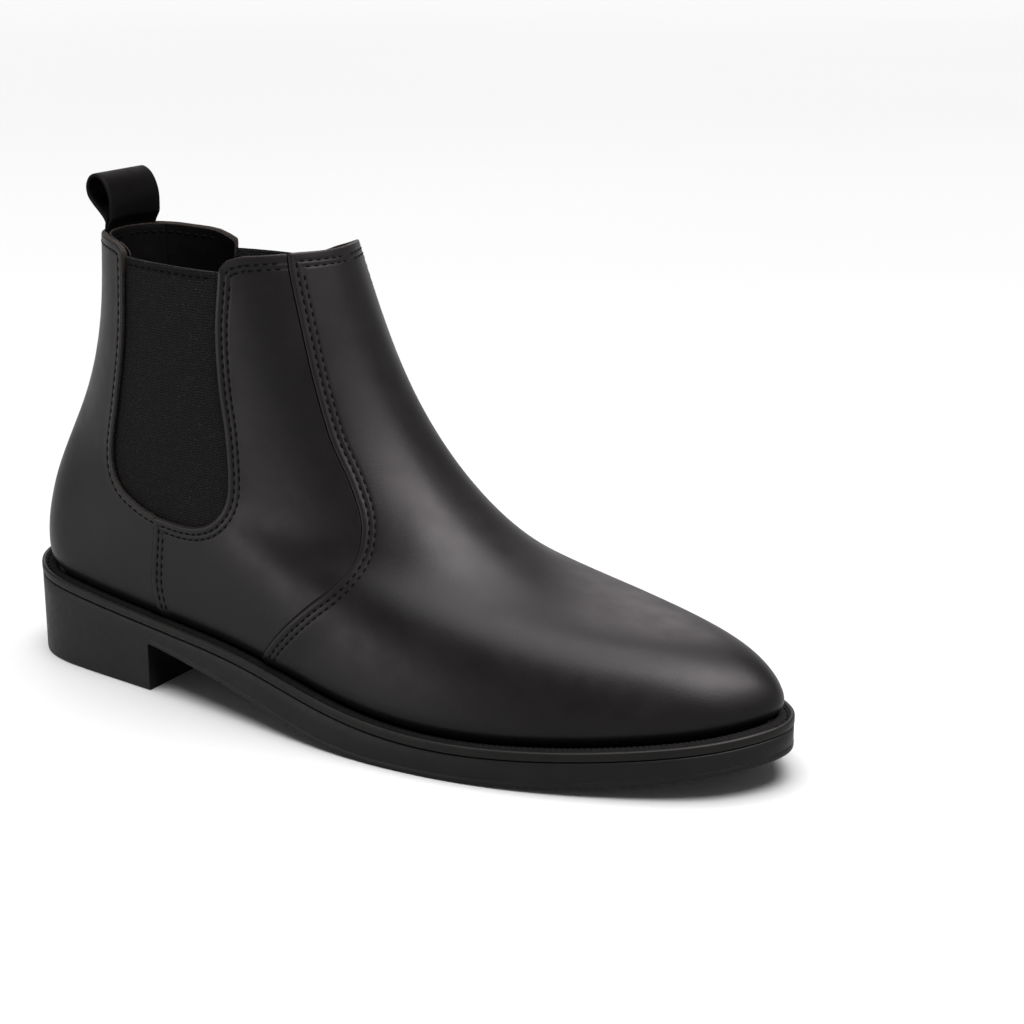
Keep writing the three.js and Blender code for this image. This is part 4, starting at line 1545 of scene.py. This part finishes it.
# ---------- camera, lights, floor ----------

VIEW_AZIMUTH = 29.47
VIEW_ELEVATION = 16.92
VIEW_DISTANCE = 0.85987
VIEW_TARGET = (-0.02717, 0.13611, 0.02967)
LENS = 72.74
LIGHT_COLOUR = (1.0, 0.93, 0.95)
LIGHT_TARGET = (0, 0, 0.06)
# Soft boxes: azimuth, elevation, distance, size, power.
SOFT_BOXES = {
    "key": (84, 58, 1.7, (1.5, 1.0), 86),
    "overhead": (150, 78, 1.8, (1.5, 1.2), 18),
    "back": (215, 30, 1.6, (1.4, 0.8), 12),
    "left": (-36, 5, 1.5, (1.0, 0.36), 11),
}
SUN_STRENGTH = 3.9
SUN_ANGLE = 60
SKY_FALL = {"From Min": 0.0, "From Max": 0.25, "To Min": 0.92, "To Max": 0.12}


def direction(azimuth, elevation):
    a, e = math.radians(azimuth), math.radians(elevation)
    return np.array([math.sin(a) * math.cos(e), -math.cos(a) * math.cos(e), math.sin(e)])


def aim(obj, target):
    obj.rotation_mode = "QUATERNION"
    obj.rotation_quaternion = (Vector(target) - obj.location).to_track_quat("-Z", "Y")


def add_camera():
    data = bpy.data.cameras.new("camera")
    data.lens, data.sensor_width = LENS, 36.0
    data.clip_start, data.clip_end = 0.01, 50
    camera = bpy.data.objects.new("camera", data)
    bpy.context.scene.collection.objects.link(camera)
    camera.location = np.array(VIEW_TARGET) + direction(VIEW_AZIMUTH, VIEW_ELEVATION) * VIEW_DISTANCE
    aim(camera, VIEW_TARGET)
    bpy.context.scene.camera = camera


def add_soft_box(name, azimuth, elevation, distance, size, power, receivers):
    """A soft box aimed at the boot, which leaves the floor to the sun and the sky."""
    data = bpy.data.lights.new(name, "AREA")
    data.shape = "RECTANGLE"
    data.size, data.size_y = size
    data.energy = power
    data.color = LIGHT_COLOUR
    light = bpy.data.objects.new(name, data)
    bpy.context.scene.collection.objects.link(light)
    light.location = direction(azimuth, elevation) * distance
    aim(light, LIGHT_TARGET)
    light.light_linking.receiver_collection = receivers


def add_floor():
    bpy.ops.mesh.primitive_plane_add(size=24, location=(0, 0, 0))
    floor = bpy.context.object
    floor.name = "floor"
    floor.data.materials.append(pale_floor())
    unlit = bpy.data.collections.new("floor_unlit")
    unlit.objects.link(floor)
    unlit.collection_objects[0].light_linking.link_state = "EXCLUDE"
    return unlit


def light_by_height(tree):
    """A studio sweep: bright near the floor line, dim overhead."""
    place = tree.nodes.new("ShaderNodeTexCoord")
    split = tree.nodes.new("ShaderNodeSeparateXYZ")
    fall = tree.nodes.new("ShaderNodeMapRange")
    for socket, number in SKY_FALL.items():
        fall.inputs[socket].default_value = number
    tree.links.new(place.outputs["Generated"], split.inputs["Vector"])
    tree.links.new(split.outputs["Z"], fall.inputs["Value"])
    tree.links.new(fall.outputs["Result"], tree.nodes["Background"].inputs["Strength"])
    tree.nodes["Background"].inputs["Color"].default_value = (1, 1, 1, 1)


add_camera()
floor_unlit = add_floor()
for name, settings in SOFT_BOXES.items():
    add_soft_box(name, *settings, floor_unlit)
sun = bpy.data.lights.new("sun", "SUN")
sun.energy, sun.angle = SUN_STRENGTH, math.radians(SUN_ANGLE)
bpy.context.scene.collection.objects.link(bpy.data.objects.new("sun", sun))
world = bpy.data.worlds.new("world")
world.use_nodes = True
light_by_height(world.node_tree)
bpy.context.scene.world = world
bpy.context.scene.view_settings.view_transform = "Standard"

# Nodes that keep their CAD shape.
KEPT = {
    "heel_counter": "board", "toe_puff": "board", "insole_board": "board", "insole_foam": "foam",
    "cork_filler": "cork", "shank": "steel", **{f"heel_nail_{i}": "steel" for i in range(1, 6)},
}
for node, key in KEPT.items():
    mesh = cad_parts[node].data
    mesh.materials.clear()
    mesh.materials.append(MATERIALS[key])
